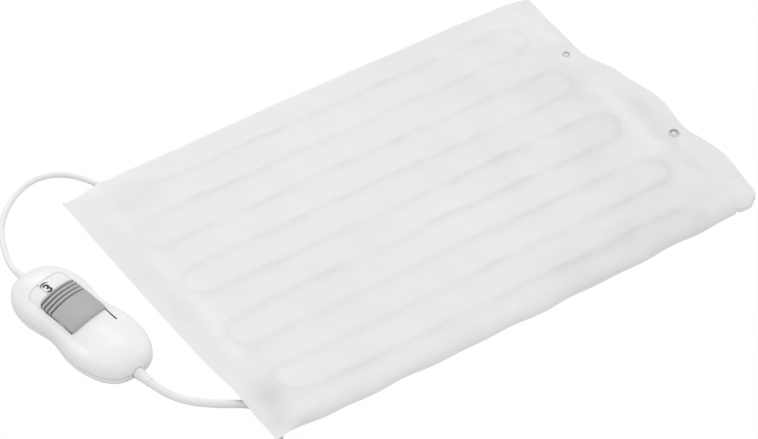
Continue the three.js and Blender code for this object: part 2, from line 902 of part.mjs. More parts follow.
const block_mid_x = (block_low_x + block_high_x) / 2;
addPiece(assembly, "terminal_block_base", blockBase(), soft_white);
addPiece(
  assembly,
  "terminal_block_lid",
  box(block_length, block_width, block_lid_height, block_mid_x, block_y, wire_low + block_base_height + fit_gap),
  soft_white,
);
const cutout = new THREE.CylinderGeometry(cutout_diameter / 2, cutout_diameter / 2, cutout_length, 10);
cutout.rotateZ(Math.PI / 2);
cutout.translate(block_mid_x, block_y, wire_low + block_wall + fit_gap + cutout_diameter / 2);
addPiece(assembly, "thermal_cutout", cutout, steel);

// Free cord from the pad to the controller and the mains lead's first stretch
const controller = new THREE.Group();
controller.position.set(left_x - controller_from_cover, controller_y, 0);
controller.rotation.z = radians(controller_turn_deg);
controller.updateMatrix();
assembly.add(controller);

const port_level = lower_shell_height + fit_gap / 2;
const half_length = controller_length / 2;
const board_low_y = board_at - board_length / 2;
const board_high_y = board_at + board_length / 2;
const cord_end_gap = fit_gap + 0.1 * fit_gap;

function controllerPoint(y) {
  const point = new THREE.Vector3(0, y, port_level).applyMatrix4(controller.matrix);
  return point.toArray();
}

const pad_cord_inner_y = board_high_y + cord_end_gap;
const mains_inner_y = board_low_y - cord_end_gap;
const relief_tip = half_length + relief_outside;
const pad_cord_route = [
  ...pad_cord_points,
  controllerPoint(relief_tip),
  controllerPoint(half_length),
  controllerPoint(pad_cord_inner_y),
];
const mains_route = [
  controllerPoint(mains_inner_y),
  controllerPoint(-half_length),
  controllerPoint(-relief_tip),
  ...mains_points,
];
addPiece(assembly, "pad_cord", cordAlong(pad_cord_route, pad_cord_diameter, 8, 2.2), soft_white);
addPiece(assembly, "mains_cord", cordAlong(mains_route, mains_diameter, 10, 2), soft_white);

// Coil: spirals in and out at a steady rate and climbs a layer in each half turn where it reverses
function coilPoint(turn) {
  const leg = Math.min(Math.floor(turn / coil_turns_per_layer), coil_layers - 1);
  const into = turn - leg * coil_turns_per_layer;
  const inward = leg % 2 === 0 ? into : coil_turns_per_layer - into;
  const radius = coil_outer_radius - inward * turn_spacing;
  let layer = 0;
  for (let k = 1; k < coil_layers; k++) {
    const climb = Math.min(Math.max((turn - k * coil_turns_per_layer) * 2 + 0.5, 0), 1);
    layer += climb * climb * (3 - 2 * climb);
  }
  const angle = coil_start_angle + turn * 2 * Math.PI;
  return new THREE.Vector3(
    coil_centre.x + radius * Math.cos(angle),
    coil_centre.y + radius * Math.sin(angle),
    coil_centre.z + layer * turn_spacing,
  );
}

function coilPoints() {
  const count = Math.round(coil_turns * coil_steps_per_turn);
  const points = Array.from({ length: count + 1 }, (_, i) => coilPoint((i / count) * coil_turns));
  const heading_in = new THREE.Vector3(Math.cos(radians(coil_heading_deg)), Math.sin(radians(coil_heading_deg)), 0);
  const heading_out = heading_in.clone().applyAxisAngle(new THREE.Vector3(0, 0, 1), coil_turns * 2 * Math.PI);
  points.unshift(points[0].clone().addScaledVector(heading_in, -mains_diameter));
  points.push(points.at(-1).clone().addScaledVector(heading_out, mains_diameter));
  return points;
}

const coil_points = coilPoints();
addPiece(assembly, "mains_cord_coil", tube(coil_points, mains_diameter / 2, coil_sides), soft_white);

// Least gap between stretches of the coil that are more than half a turn apart
function leastCoilGap() {
  const fine = 12;
  const dense = [];
  for (let i = 0; i + 1 < coil_points.length; i++)
    for (let k = 0; k < fine; k++) dense.push(coil_points[i].clone().lerp(coil_points[i + 1], k / fine));
  const apart = (coil_steps_per_turn * fine) / 2;
  let least = Infinity;
  for (let i = 0; i < dense.length; i += 5)
    for (let j = i + apart; j < dense.length; j++) least = Math.min(least, dense[i].distanceTo(dense[j]));
  return least - mains_diameter;
}

console.log("least gap of the coil to itself, mm:", leastCoilGap().toFixed(2));

// Tie round the coil's bundle
function tie() {
  const reach = (coil_turns_per_layer * turn_spacing) / 2 + mains_diameter / 2 + fit_gap;
  const top = mains_diameter + (coil_layers - 1) * turn_spacing + 2 * fit_gap;
  const outline = new THREE.Shape();
  outline.moveTo(-reach - tie_thickness, -tie_thickness);
  outline.lineTo(reach + tie_thickness, -tie_thickness);
  outline.lineTo(reach + tie_thickness, top);
  outline.lineTo(reach, top + tie_thickness);
  outline.lineTo(-reach, top + tie_thickness);
  outline.lineTo(-reach - tie_thickness, top);
  outline.closePath();
  const hole = new THREE.Path();
  hole.moveTo(-reach, 0);
  hole.lineTo(-reach, top);
  hole.lineTo(reach, top);
  hole.lineTo(reach, 0);
  hole.closePath();
  outline.holes.push(hole);
  const band = new THREE.ExtrudeGeometry(outline, { depth: tie_width, bevelEnabled: false });
  return band.translate(0, tie_thickness, -tie_width / 2).rotateX(Math.PI / 2);
}

const tie_piece = addPiece(assembly, "coil_tie", tie(), part_black);
const tie_angle = radians(tie_angle_deg);
tie_piece.position.set(
  coil_centre.x + coil_mid_radius * Math.cos(tie_angle),
  coil_centre.y + coil_mid_radius * Math.sin(tie_angle),
  0,
);
tie_piece.rotation.z = tie_angle;

// Tail from the coil's top layer down to the plug, which lies flat beside the coil
const tail_start = coil_points.at(-1);
const tail_descent = 42;
const plug_level = plug_thickness / 2;
const tail_run = 8;
const tail_drop = tail_start.z - plug_level;
const tail_points = [
  [tail_start.x + fit_gap, tail_start.y, tail_start.z],
  [tail_start.x + tail_run, tail_start.y, tail_start.z - tail_drop * 0.03],
  [tail_start.x + tail_descent * 0.36, tail_start.y, tail_start.z - tail_drop * 0.2],
  [tail_start.x + tail_descent * 0.5, tail_start.y, tail_start.z - tail_drop * 0.46],
  [tail_start.x + tail_descent * 0.66, tail_start.y, tail_start.z - tail_drop * 0.76],
  [tail_start.x + tail_descent * 0.84, tail_start.y, tail_start.z - tail_drop * 0.96],
  [tail_start.x + tail_descent, tail_start.y, plug_level],
  [tail_start.x + tail_descent + tail_run, tail_start.y, plug_level],
];
addPiece(assembly, "mains_cord_tail", cordAlong(tail_points, mains_diameter, 10, 1.5), soft_white);

// Flat two-pin plug with its relief, pins pointing along +X
const plug = new THREE.Group();
plug.position.set(tail_points.at(-1)[0] + fit_gap, tail_start.y, plug_level);
assembly.add(plug);

const relief_body = turned(
  [
    [0, 0],
    [plug_relief_tip_radius, 0],
    [plug_relief_root_radius, plug_relief_length],
    [0, plug_relief_length],
  ],
  12,
);
addPiece(plug, "plug_strain_relief", relief_body.rotateY(Math.PI / 2), soft_white);

function plugBody() {
  const half = plug_width / 2;
  const back = plug_back_width / 2;
  const outline = new THREE.Shape();
  outline.moveTo(0, -back + plug_bevel);
  outline.lineTo(plug_length * 0.3, -half * 0.72);
  outline.lineTo(plug_length * 0.62, -half + plug_bevel);
  outline.lineTo(plug_length - 2 * plug_bevel, -half + plug_bevel);
  outline.lineTo(plug_length - 2 * plug_bevel, half - plug_bevel);
  outline.lineTo(plug_length * 0.62, half - plug_bevel);
  outline.lineTo(plug_length * 0.3, half * 0.72);
  outline.lineTo(0, back - plug_bevel);
  outline.closePath();
  const body = new THREE.ExtrudeGeometry(outline, {
    depth: plug_thickness - 2 * plug_bevel,
    bevelEnabled: true,
    bevelThickness: plug_bevel,
    bevelSize: plug_bevel,
    bevelSegments: 2,
    curveSegments: 4,
  });
  body.translate(plug_bevel, 0, -(plug_thickness - 2 * plug_bevel) / 2);
  let solid = solidOf(body);
  for (const side of [-1, 1]) {
    const seat_radius = pin_diameter / 2 + fit_gap;
    const seat = new THREE.CylinderGeometry(seat_radius, seat_radius, pin_seat + cut_overrun, 12);
    seat.rotateZ(Math.PI / 2);
    seat.translate(plug_length - pin_seat + (pin_seat + cut_overrun) / 2, (side * pin_pitch) / 2, 0);
    solid = solid.subtract(solidOf(seat));
  }
  return geometryOf(solid);
}

const plug_piece = addPiece(plug, "plug_body", plugBody(), soft_white);
plug_piece.position.x = plug_relief_length + fit_gap;

function pin() {
  const radius = pin_diameter / 2;
  const overall = pin_length + pin_seat - fit_gap;
  const profile = [
    [0, 0],
    [radius, 0],
    [radius, overall - radius / 2],
    [radius / 2, overall],
    [0, overall],
  ];
  return turned(profile, 12).rotateY(Math.PI / 2);
}

for (const [name, side] of [
  ["plug_pin_left", 1],
  ["plug_pin_right", -1],
]) {
  const piece = addPiece(plug, name, pin(), brass);
  piece.position.set(plug_piece.position.x + plug_length - pin_seat + fit_gap, (side * pin_pitch) / 2, 0);
}

// Controller's outline: a rounded bar, drawn in at the waist
function outlineRing(inset, z) {
  return Array.from({ length: outline_steps }, (_, k) => {
    const angle = (k / outline_steps) * 2 * Math.PI;
    const power = 2 / outline_power;
    const share_y = Math.sign(Math.sin(angle)) * Math.abs(Math.sin(angle)) ** power;
    const share_x = Math.sign(Math.cos(angle)) * Math.abs(Math.cos(angle)) ** power;
    const y = half_length * share_y;
    const draw_in = (lobe_width - waist_width) * Math.exp(-(((y - waist_at) / waist_spread) ** 2));
    const half = (lobe_width - draw_in) / 2;
    return [half * share_x * (1 - inset / (lobe_width / 2)), y * (1 - inset / half_length), z];
  });
}

const parting_top = lower_shell_height + fit_gap;
const edge_inset = 0.2 * shell_wall;
const dome_base = parting_top + 0.65 * shell_wall;

function domeRings(wall, degrees) {
  return degrees.map((angle) => {
    const inset = (lobe_width / 2) * (1 - Math.cos(radians(angle)) ** (2 / dome_power));
    const height = (controller_height - dome_base) * Math.sin(radians(angle)) ** (2 / dome_power);
    return outlineRing(inset + wall, dome_base + height - (angle > 0 ? wall : 0));
  });
}

const upper_outer = solidOf(
  loft([outlineRing(edge_inset, parting_top), ...domeRings(0, [0, 12, 24, 36, 48, 60, 71, 81])]),
);
const upper_inner = solidOf(
  loft([outlineRing(shell_wall, parting_top - cut_overrun), ...domeRings(shell_wall, [0, 25, 45, 63, 78])]),
);

function roundedOutline(half, low, high, radius) {
  const shape = new THREE.Shape();
  shape.moveTo(-half + radius, low);
  shape.lineTo(half - radius, low);
  shape.absarc(half - radius, low + radius, radius, -Math.PI / 2, 0, false);
  shape.lineTo(half, high - radius);
  shape.absarc(half - radius, high - radius, radius, 0, Math.PI / 2, false);
  shape.lineTo(-half + radius, high);
  shape.absarc(-half + radius, high - radius, radius, Math.PI / 2, Math.PI, false);
  shape.lineTo(-half, low + radius);
  shape.absarc(-half + radius, low + radius, radius, Math.PI, 1.5 * Math.PI, false);
  return shape;
}

function trackOutline(margin) {
  return roundedOutline(
    track_width / 2 + margin,
    track_at - track_length / 2 - margin,
    track_at + track_length / 2 + margin,
    track_corner_radius + margin,
  );
}

const slot_low_y = track_at - track_length / 2 + slot_end_margin;
const slot_x = (track_width - slot_width) / 2;
const floor_under = track_floor_height - track_floor_thickness;

// The track's floor, the scale and the knob are crowned alike: arcs across X round one centre
const arc_steps = 150;
const floor_radius = ((track_width / 2) ** 2 + track_floor_crown ** 2) / (2 * track_floor_crown);
const arcs_centre = track_floor_height + track_floor_crown - floor_radius;
const scale_radius = floor_radius + fit_gap;
const knob_under_radius = scale_radius + scale_plate_thickness + fit_gap;
const knob_top_radius = knob_under_radius + knob_thickness;

function arcBody(radius, length, y) {
  return solidOf(cylinderAlongY(radius, length, 0, y, arcs_centre, arc_steps));
}

function arcHeight(radius, x) {
  return arcs_centre + Math.sqrt(radius ** 2 - x ** 2);
}

const screw_x = lobe_width / 2 - screw_from_side;
const screw_places = [
  ["far_left", -screw_x, screw_y_far],
  ["far_right", screw_x, screw_y_far],
  ["near_left", -screw_x, screw_y_near],
  ["near_right", screw_x, screw_y_near],
];
const screw_top = screw_recess + screw_length;

// The two cords' ports: same level, each with its own cord size
const ports = [
  { name: "pad", side: 1, cord_radius: pad_cord_diameter / 2 },
  { name: "mains", side: -1, cord_radius: mains_diameter / 2 },
].map((port) => {
  const bore = port.cord_radius + fit_gap;
  const neck = bore + relief_neck_wall;
  return { ...port, bore, neck, flange: neck + relief_flange_lip, collar: neck + relief_collar_lip };
});

// Both shells are cut for the reliefs' necks and flanges
function cutPorts(solid) {
  for (const port of ports) {
    const inner_end = half_length - relief_inside - fit_gap;
    const neck_length = relief_inside + fit_gap + cut_overrun;
    const neck_mid = port.side * (inner_end + neck_length / 2);
    const flange_length = relief_flange_length + 2 * fit_gap;
    const flange_mid = port.side * (inner_end + flange_length / 2);
    const neck = cylinderAlongY(port.neck + fit_gap, neck_length, 0, neck_mid, port_level, 14);
    const flange = cylinderAlongY(port.flange + fit_gap, flange_length, 0, flange_mid, port_level, 14);
    solid = solid.subtract(solidOf(neck)).subtract(solidOf(flange));
  }
  return solid;
}

// Collars of the shells that hold the reliefs: a block round each neck, with the flange's room behind it
function portBlocks(z_low, height) {
  return ports.map((port) => {
    const length = relief_inside - shell_wall / 2;
    const middle = port.side * (half_length - shell_wall / 2 - length / 2);
    return solidOf(box(2 * port.flange + 2 * shell_wall, length, height, 0, middle, z_low));
  });
}

function upperShell() {
  let solid = upper_outer.subtract(upper_inner);
  const tray = solidOf(prism(trackOutline(shell_wall), controller_height, floor_under));
  solid = solid.add(tray.intersect(upper_outer));
  for (const [, x, y] of screw_places) {
    const post = new THREE.CylinderGeometry(post_radius, post_radius, controller_height, 12).rotateX(Math.PI / 2);
    solid = solid.add(solidOf(post.translate(x, y, parting_top + controller_height / 2)).intersect(upper_outer));
  }
  for (const block of portBlocks(parting_top, port_level - parting_top + ports[1].flange + shell_wall))
    solid = solid.add(block.intersect(upper_outer));
  const recess = solidOf(prism(trackOutline(0), controller_height, floor_under));
  solid = solid.subtract(recess.subtract(arcBody(floor_radius, controller_length, track_at)));
  const slot_top = arcHeight(floor_radius, slot_x - slot_width / 2) + fit_gap;
  for (const side of [-1, 1]) {
    const slot = box(
      slot_width,
      slot_length,
      slot_top - floor_under + cut_overrun,
      side * slot_x,
      slot_low_y + slot_length / 2,
      floor_under - cut_overrun,
    );
    solid = solid.subtract(solidOf(slot));
  }
  const pilot_top = screw_top + 2 * fit_gap;
  for (const [, x, y] of screw_places) {
    const radius = screw_shank_radius + fit_gap;
    const pilot = new THREE.CylinderGeometry(radius, radius, pilot_top, 10).rotateX(Math.PI / 2);
    solid = solid.subtract(solidOf(pilot.translate(x, y, pilot_top / 2)));
  }
  return geometryOf(cutPorts(solid));
}

addPiece(controller, "controller_upper_shell", upperShell(), shell_white);

const lower_insets = [
  [0, 2.1 * shell_wall],
  [0.2 * lower_shell_height, 0.9 * shell_wall],
  [0.5 * lower_shell_height, 0.3 * shell_wall],
  [0.8 * lower_shell_height, 0],
  [lower_shell_height, edge_inset],
];
const clamps = ports.map((port) => {
  const board_end = port.side > 0 ? board_high_y : board_low_y;
  return { ...port, y: board_end + port.side * (clamp_gap_to_board + clamp_length / 2) };
});

function lowerShell() {
  let solid = solidOf(loft(lower_insets.map(([z, inset]) => outlineRing(inset, z))));
  const hollow = loft([
    outlineRing(shell_wall + lower_insets[1][1], shell_wall),
    outlineRing(shell_wall, lower_insets[3][0]),
    outlineRing(shell_wall, lower_shell_height + cut_overrun),
  ]);
  const outer = solid;
  solid = solid.subtract(solidOf(hollow));
  for (const [, x, y] of screw_places) {
    const post = new THREE.CylinderGeometry(post_radius, post_radius, lower_shell_height, 12).rotateX(Math.PI / 2);
    solid = solid.add(solidOf(post.translate(x, y, lower_shell_height / 2)).intersect(outer));
  }
  for (const block of portBlocks(0, lower_shell_height)) solid = solid.add(block.intersect(outer));
  for (const clamp of clamps) {
    const saddle = box(clamp_width, clamp_length, lower_shell_height - shell_wall / 2, 0, clamp.y, shell_wall / 2);
    solid = solid.add(solidOf(saddle));
    const groove = cylinderAlongY(clamp.bore, clamp_length + 2 * cut_overrun, 0, clamp.y, port_level, 12);
    solid = solid.subtract(solidOf(groove));
  }
  const rest_height = board_height - fit_gap - shell_wall / 2;
  for (const y of [board_low_y * 0.9, board_high_y * 0.9])
    solid = solid.add(solidOf(box(board_width * 0.8, shell_wall, rest_height, 0, y, shell_wall / 2)));
  for (const [, x, y] of screw_places) {
    const radius = screw_shank_radius + 2 * fit_gap;
    const hole = new THREE.CylinderGeometry(radius, radius, controller_height, 10).rotateX(Math.PI / 2);
    solid = solid.subtract(solidOf(hole.translate(x, y, 0)));
    const wide = screw_head_radius + fit_gap;
    const sunk = new THREE.CylinderGeometry(wide, wide, 2 * screw_recess, 12).rotateX(Math.PI / 2);
    solid = solid.subtract(solidOf(sunk.translate(x, y, 0)));
  }
  return geometryOf(cutPorts(solid));
}

addPiece(controller, "controller_lower_shell", lowerShell(), shell_white);

function screw() {
  const head_low = screw_recess - fit_gap - screw_head_height;
  return turned(
    [
      [0, head_low],
      [screw_head_radius * 0.85, head_low],
      [screw_head_radius, head_low + screw_head_height * 0.4],
      [screw_head_radius, head_low + screw_head_height],
      [screw_shank_radius, head_low + screw_head_height],
      [screw_shank_radius, screw_top],
      [0, screw_top],
    ],
    10,
  );
}

for (const [name, x, y] of screw_places) {
  const piece = addPiece(controller, `shell_screw_${name}`, screw(), steel);
  piece.position.set(x, y, 0);
}

// Strain reliefs, each round its cord: flange inside, neck in the wall, tapered sleeve outside
function relief(port) {
  const flange_start = -relief_inside;
  const neck_start = flange_start + relief_flange_length;
  const collar_start = 2 * fit_gap;
  const profile = [
    [port.bore, flange_start],
    [port.flange, flange_start],
    [port.flange, neck_start],
    [port.neck, neck_start],
    [port.neck, collar_start],
    [port.collar, collar_start],
    [port.collar, collar_start + relief_outside * 0.15],
    [port.bore + relief_tip_wall, relief_outside - fit_gap],
    [port.bore, relief_outside - fit_gap],
    [port.bore, flange_start],
  ];
  const body = new THREE.LatheGeometry(
    profile.map(([radius, along]) => new THREE.Vector2(radius, along)),
    14,
  );
  return port.side > 0 ? body : body.rotateZ(Math.PI);
}

for (const port of ports) {
  const piece = addPiece(controller, `${port.name}_cord_strain_relief`, relief(port), soft_white);
  piece.position.set(0, port.side * half_length, port_level);
}

// Clamp bars over the cords
for (const clamp of clamps) {
  const bar_low = lower_shell_height + fit_gap;
  const height = port_level - bar_low + clamp.bore + clamp_cover;
  const bar = solidOf(box(clamp_width, clamp_length, height, 0, clamp.y, bar_low));
  const groove = cylinderAlongY(clamp.bore, clamp_length + 2 * cut_overrun, 0, clamp.y, port_level, 12);
  addPiece(controller, `${clamp.name}_cord_clamp`, geometryOf(bar.subtract(solidOf(groove))), soft_white);
}

// Board and what stands on it
const board_top = board_height + board_thickness;
const part_low = board_top + fit_gap;
const carrier_low = floor_under - fit_gap - carrier_thickness;
const terminal_height = carrier_low - fit_gap - part_low; // the carrier slides over the pad's terminals
addPiece(
  controller,
  "circuit_board",
  box(board_width, board_length, board_thickness, 0, board_at, board_height),
  board_green,
);

const switch_y = knob_at;
const strip_low = part_low + switch_base_height + fit_gap;
addPiece(
  controller,
  "switch_base",
  box(switch_base_width, switch_base_length, switch_base_height, 0, switch_y, part_low),
  part_black,
);
for (const [name, side] of [
  ["left", -1],
  ["right", 1],
])
  addPiece(
    controller,
    `contact_strip_${name}`,
    box(strip_width, strip_length, strip_thickness, (side * strip_pitch) / 2, switch_y, strip_low),
    brass,
  );

for (const [name, y] of [
  ["mains", board_low_y + terminal_length / 2 + fit_gap],
  ["pad", board_high_y - terminal_length / 2 - fit_gap],
]) {
  let solid = solidOf(box(terminal_width, terminal_length, terminal_height, 0, y, part_low));
  for (const side of [-1, 1]) {
    const x = (side * terminal_width) / 4;
    const hole = new THREE.CylinderGeometry(terminal_hole_radius, terminal_hole_radius, terminal_height, 8);
    hole.rotateX(Math.PI / 2).translate(x, y, part_low + terminal_height);
    solid = solid.subtract(solidOf(hole));
  }
  addPiece(controller, `${name}_terminal_block`, geometryOf(solid), soft_white);
}

const near_parts_y = switch_y - switch_base_length / 2;
addPiece(
  controller,
  "suppression_capacitor",
  box(
    capacitor_width,
    capacitor_length,
    capacitor_height,
    -board_width / 2 + capacitor_width / 2 + fit_gap,
    near_parts_y - capacitor_length / 2 - fit_gap,
    part_low,
  ),
  part_yellow,
);
const fuse = cylinderAlongY(
  fuse_diameter / 2,
  fuse_length,
  board_width / 2 - fuse_diameter / 2 - 4 * fit_gap,
  near_parts_y - fuse_length / 2 - fit_gap,
  part_low + fuse_diameter / 2,
  12,
);
addPiece(controller, "fuse", fuse, scale_pale);
addPiece(
  controller,
  "power_control_part",
  box(
    power_part_width,
    power_part_length,
    power_part_height,
    0,
    near_parts_y - power_part_length / 2 - fit_gap,
    part_low,
  ),
  part_black,
);

// Scale on the track's floor, under the knob and beyond its far end
const scale_y = track_at + track_length / 2 - scale_plate_length / 2 - 2 * fit_gap;

function scalePlate() {
  const blank = solidOf(box(scale_plate_width, scale_plate_length, controller_height, 0, scale_y, floor_under));
  const sheet = arcBody(scale_radius + scale_plate_thickness, scale_plate_length, scale_y);
  return geometryOf(blank.intersect(sheet).subtract(arcBody(scale_radius, controller_length, scale_y)));
}

addPiece(controller, "scale_plate", scalePlate(), scale_pale);

// Knob: crowned plate with grips at its far end and two hooked legs that pass the slots
const knob_half_width = track_width / 2 - knob_side_clearance;
const leg_x = track_width / 2 - fit_gap - knob_leg_thickness / 2;
const hook_top = carrier_low - fit_gap;
const hook_low = hook_top - leg_hook_height;
const leg_y = knob_at - knob_length / 2 + knob_leg_from_end + knob_leg_length / 2;

function knob() {
  const outline = roundedOutline(
    knob_half_width,
    knob_at - knob_length / 2,
    knob_at + knob_length / 2,
    track_corner_radius - knob_side_clearance,
  );
  let solid = solidOf(prism(outline, knob_top_radius, floor_under));
  solid = solid.intersect(arcBody(knob_top_radius, controller_length, knob_at));
  solid = solid.subtract(arcBody(knob_under_radius, controller_length, knob_at));
  for (let k = 0; k < grip_count; k++) {
    const y = knob_at + knob_length / 2 - grip_from_end - k * grip_pitch;
    const groove = arcBody(knob_top_radius + grip_depth, grip_width, y);
    solid = solid.subtract(groove.subtract(arcBody(knob_top_radius - grip_depth, grip_width + cut_overrun, y)));
  }
  const leg_height = arcHeight(knob_under_radius, leg_x) + knob_thickness / 2 - hook_low;
  for (const side of [-1, 1]) {
    const leg = box(knob_leg_thickness, knob_leg_length, leg_height, side * leg_x, leg_y, hook_low);
    const hook_width = knob_leg_thickness + leg_hook_reach;
    const hook_x = side * (leg_x - leg_hook_reach / 2);
    const hook = box(hook_width, knob_leg_length, leg_hook_height, hook_x, leg_y, hook_low);
    solid = solid.add(solidOf(leg)).add(solidOf(hook));
  }
  return geometryOf(solid);
}

addPiece(controller, "slider_knob", knob(), knob_grey);

// Carrier under the track's floor, between the legs, with a notch for each setting in its underside
const carrier_width = 2 * (leg_x - knob_leg_thickness / 2 - fit_gap);
const bridge_low = carrier_low - fit_gap - bridge_thickness;
const detent_x = switch_base_width / 2 - detent_width / 2;

function carrier() {
  let solid = solidOf(box(carrier_width, carrier_length, carrier_thickness, 0, knob_at, carrier_low));
  for (let k = 0; k < setting_count; k++) {
    const y = knob_at + (1 - k) * switch_step;
    const notch = new THREE.CylinderGeometry(detent_width / 3, detent_width / 3, detent_width * 1.4, 8);
    notch.rotateZ(Math.PI / 2).translate(detent_x, y, carrier_low);
    solid = solid.subtract(solidOf(notch));
  }
  return geometryOf(solid);
}

addPiece(controller, "slider_carrier", carrier(), part_black);

// A strip whose side outline, drawn as (along Y, height), is as wide as given across X.
function leafAcross(outline, width, x) {
  const body = new THREE.ExtrudeGeometry(outline, { depth: width, bevelEnabled: false });
  const turn = new THREE.Matrix4().makeBasis(
    new THREE.Vector3(0, 1, 0),
    new THREE.Vector3(0, 0, 1),
    new THREE.Vector3(1, 0, 0),
  );
  return body.translate(0, 0, -width / 2).applyMatrix4(turn).translate(x, knob_at, 0);
}

// Contact bridge: a bowed strip under the carrier that reaches down to the contact strips
function bridge() {
  const drop = bridge_low - (strip_low + strip_thickness + fit_gap);
  const half = bridge_length / 2;
  const outline = new THREE.Shape();
  outline.moveTo(-half * 0.4, bridge_low + bridge_thickness);
  outline.lineTo(-half, bridge_low + bridge_thickness - drop);
  outline.lineTo(-half, bridge_low - drop);
  outline.lineTo(-half * 0.9, bridge_low - drop);
  outline.lineTo(-half * 0.35, bridge_low);
  outline.lineTo(half * 0.35, bridge_low);
  outline.lineTo(half * 0.9, bridge_low - drop);
  outline.lineTo(half, bridge_low - drop);
  outline.lineTo(half, bridge_low + bridge_thickness - drop);
  outline.lineTo(half * 0.4, bridge_low + bridge_thickness);
  outline.closePath();
  return leafAcross(outline, bridge_width, 0);
}

addPiece(controller, "contact_bridge", bridge(), brass);

// Detent spring: a leaf on the switch base whose hump rises to the carrier's notches
function detentSpring() {
  const low = part_low + switch_base_height + fit_gap;
  const top = carrier_low - fit_gap;
  const half = detent_length / 2;
  const outline = new THREE.Shape();
  outline.moveTo(-half, low);
  outline.lineTo(-half * 0.6, low);
  outline.lineTo(0, top - detent_thickness);
  outline.lineTo(half * 0.6, low);
  outline.lineTo(half, low);
  outline.lineTo(half, low + detent_thickness);
  outline.lineTo(half * 0.62, low + detent_thickness);
  outline.lineTo(detent_width * 0.3, top);
  outline.lineTo(-detent_width * 0.3, top);
  outline.lineTo(-half * 0.62, low + detent_thickness);
  outline.lineTo(-half, low + detent_thickness);
  outline.closePath();
  return leafAcross(outline, detent_width, detent_x);
}

addPiece(controller, "detent_spring", detentSpring(), steel);

export default assembly;
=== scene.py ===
import math

import bmesh
import bpy
import numpy as np
from mathutils import Matrix, Vector


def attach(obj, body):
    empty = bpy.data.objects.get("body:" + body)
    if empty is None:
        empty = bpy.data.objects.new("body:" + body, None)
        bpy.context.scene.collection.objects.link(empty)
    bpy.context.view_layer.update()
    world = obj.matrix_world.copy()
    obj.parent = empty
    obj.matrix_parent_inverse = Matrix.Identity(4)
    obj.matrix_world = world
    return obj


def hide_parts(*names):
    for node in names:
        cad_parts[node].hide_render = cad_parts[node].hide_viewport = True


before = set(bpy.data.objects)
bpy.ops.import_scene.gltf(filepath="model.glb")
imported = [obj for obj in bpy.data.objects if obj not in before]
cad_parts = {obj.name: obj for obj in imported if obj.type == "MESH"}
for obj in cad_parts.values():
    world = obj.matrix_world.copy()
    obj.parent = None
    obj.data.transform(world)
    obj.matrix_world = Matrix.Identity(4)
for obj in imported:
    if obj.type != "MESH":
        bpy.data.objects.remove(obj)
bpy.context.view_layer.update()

scene = bpy.context.scene


def show(obj):
    if obj.name not in scene.collection.objects:
        scene.collection.objects.link(obj)


def aim(obj, at, target):
    """Puts a camera or a lamp at a place, turned toward target."""
    obj.location = at
    obj.rotation_mode = "QUATERNION"
    obj.rotation_quaternion = (Vector(target) - Vector(at)).to_track_quat("-Z", "Y")
    show(obj)


# Camera: places in metres, lens in millimetres
camera_at = (-0.99695, -1.41641, 1.59751)
camera_target = (-0.025, 0.0025, 0)
camera_lens = 160.6
camera_near = 0.1
camera_far = 20

camera_data = bpy.data.cameras.new("camera")
camera_data.lens = camera_lens
camera_data.clip_start = camera_near
camera_data.clip_end = camera_far
camera = bpy.data.objects.new("camera", camera_data)
aim(camera, camera_at, camera_target)
scene.camera = camera
scene.view_settings.view_transform = "Standard"

# Sizes of the object, in metres
cover_length = 0.4
cover_width = 0.272
seam_height = 0.004
side_bulge = 0.0025
fit_gap = 0.0003
cloth_thickness = 0.0015
felt_thickness = 0.0018
wire_diameter = 0.0026
pass_count = 9
wire_margin_left = 0.0226
wire_margin_mouth = 0.0333
wire_margin_far = 0.0246
wire_margin_near = 0.0201
inner_border_ends = 0.007
inner_border_sides = 0.012
ridge_flat = 0.0008
ridge_reach = 0.0078
block_length = 0.027
block_width = 0.011
block_offset_y = 0.002
block_rise = 0.0024
block_start_share = 0.42
pad_cord_diameter = 0.004
mains_diameter = 0.0055

controller_from_cover = 0.052
controller_y = 0.0235
controller_turn = math.radians(8)
controller_length = 0.119
lobe_width = 0.056
waist_width = 0.046
waist_at = 0.005
waist_spread = 0.0185
controller_height = 0.0211
lower_shell_height = 0.006
shell_wall = 0.002
outline_power = 2.9
dome_power = 2.6
edge_inset = 0.0004
dome_base = 0.0076
track_length = 0.0602
track_width = 0.0326
track_at = 0.0092
track_corner_radius = 0.005
track_slant = 0.13
track_floor_height = 0.017
track_floor_crown = 0.0031
scale_plate_thickness = 0.0004
knob_length = 0.037
knob_at = 0.0077
knob_thickness = 0.0014
knob_clearance = 0.0004

left_x = -cover_length / 2
half_width = cover_width / 2
pass_pitch = (cover_width - wire_margin_far - wire_margin_near) / (pass_count - 1)
turn_radius = pass_pitch / 2
turns_low_x = left_x + wire_margin_left
turns_high_x = cover_length / 2 - wire_margin_mouth
straight_low_x = turns_low_x + turn_radius
straight_high_x = turns_high_x - turn_radius
first_pass_y = half_width - wire_margin_far
last_pass_y = first_pass_y - (pass_count - 1) * pass_pitch
inner_low_x = turns_low_x - inner_border_ends
inner_high_x = turns_high_x + inner_border_ends
inner_high_y = first_pass_y + inner_border_sides
inner_low_y = last_pass_y - inner_border_sides
block_low_x = turns_low_x + turn_radius * block_start_share
block_high_x = block_low_x + block_length
block_y = first_pass_y + block_offset_y
felt_low = cloth_thickness + fit_gap
wire_low = felt_low + felt_thickness + fit_gap
felt_crest = wire_low + wire_diameter + fit_gap
top_rise = felt_thickness + fit_gap + cloth_thickness
cover_crest = felt_crest + top_rise

# Routes of the cords' centre lines; the part's own source has the same points
controller_matrix = Matrix.Translation((left_x - controller_from_cover, controller_y, 0)) @ Matrix.Rotation(
    controller_turn, 4, "Z"
)
port_level = 0.00615
board_near_end = -0.0393
board_far_end = 0.0397
cord_end_gap = 0.00033
relief_outside = 0.013
half_length = controller_length / 2


def controller_point(y, z=port_level):
    return tuple(controller_matrix @ Vector((0, y, z)))


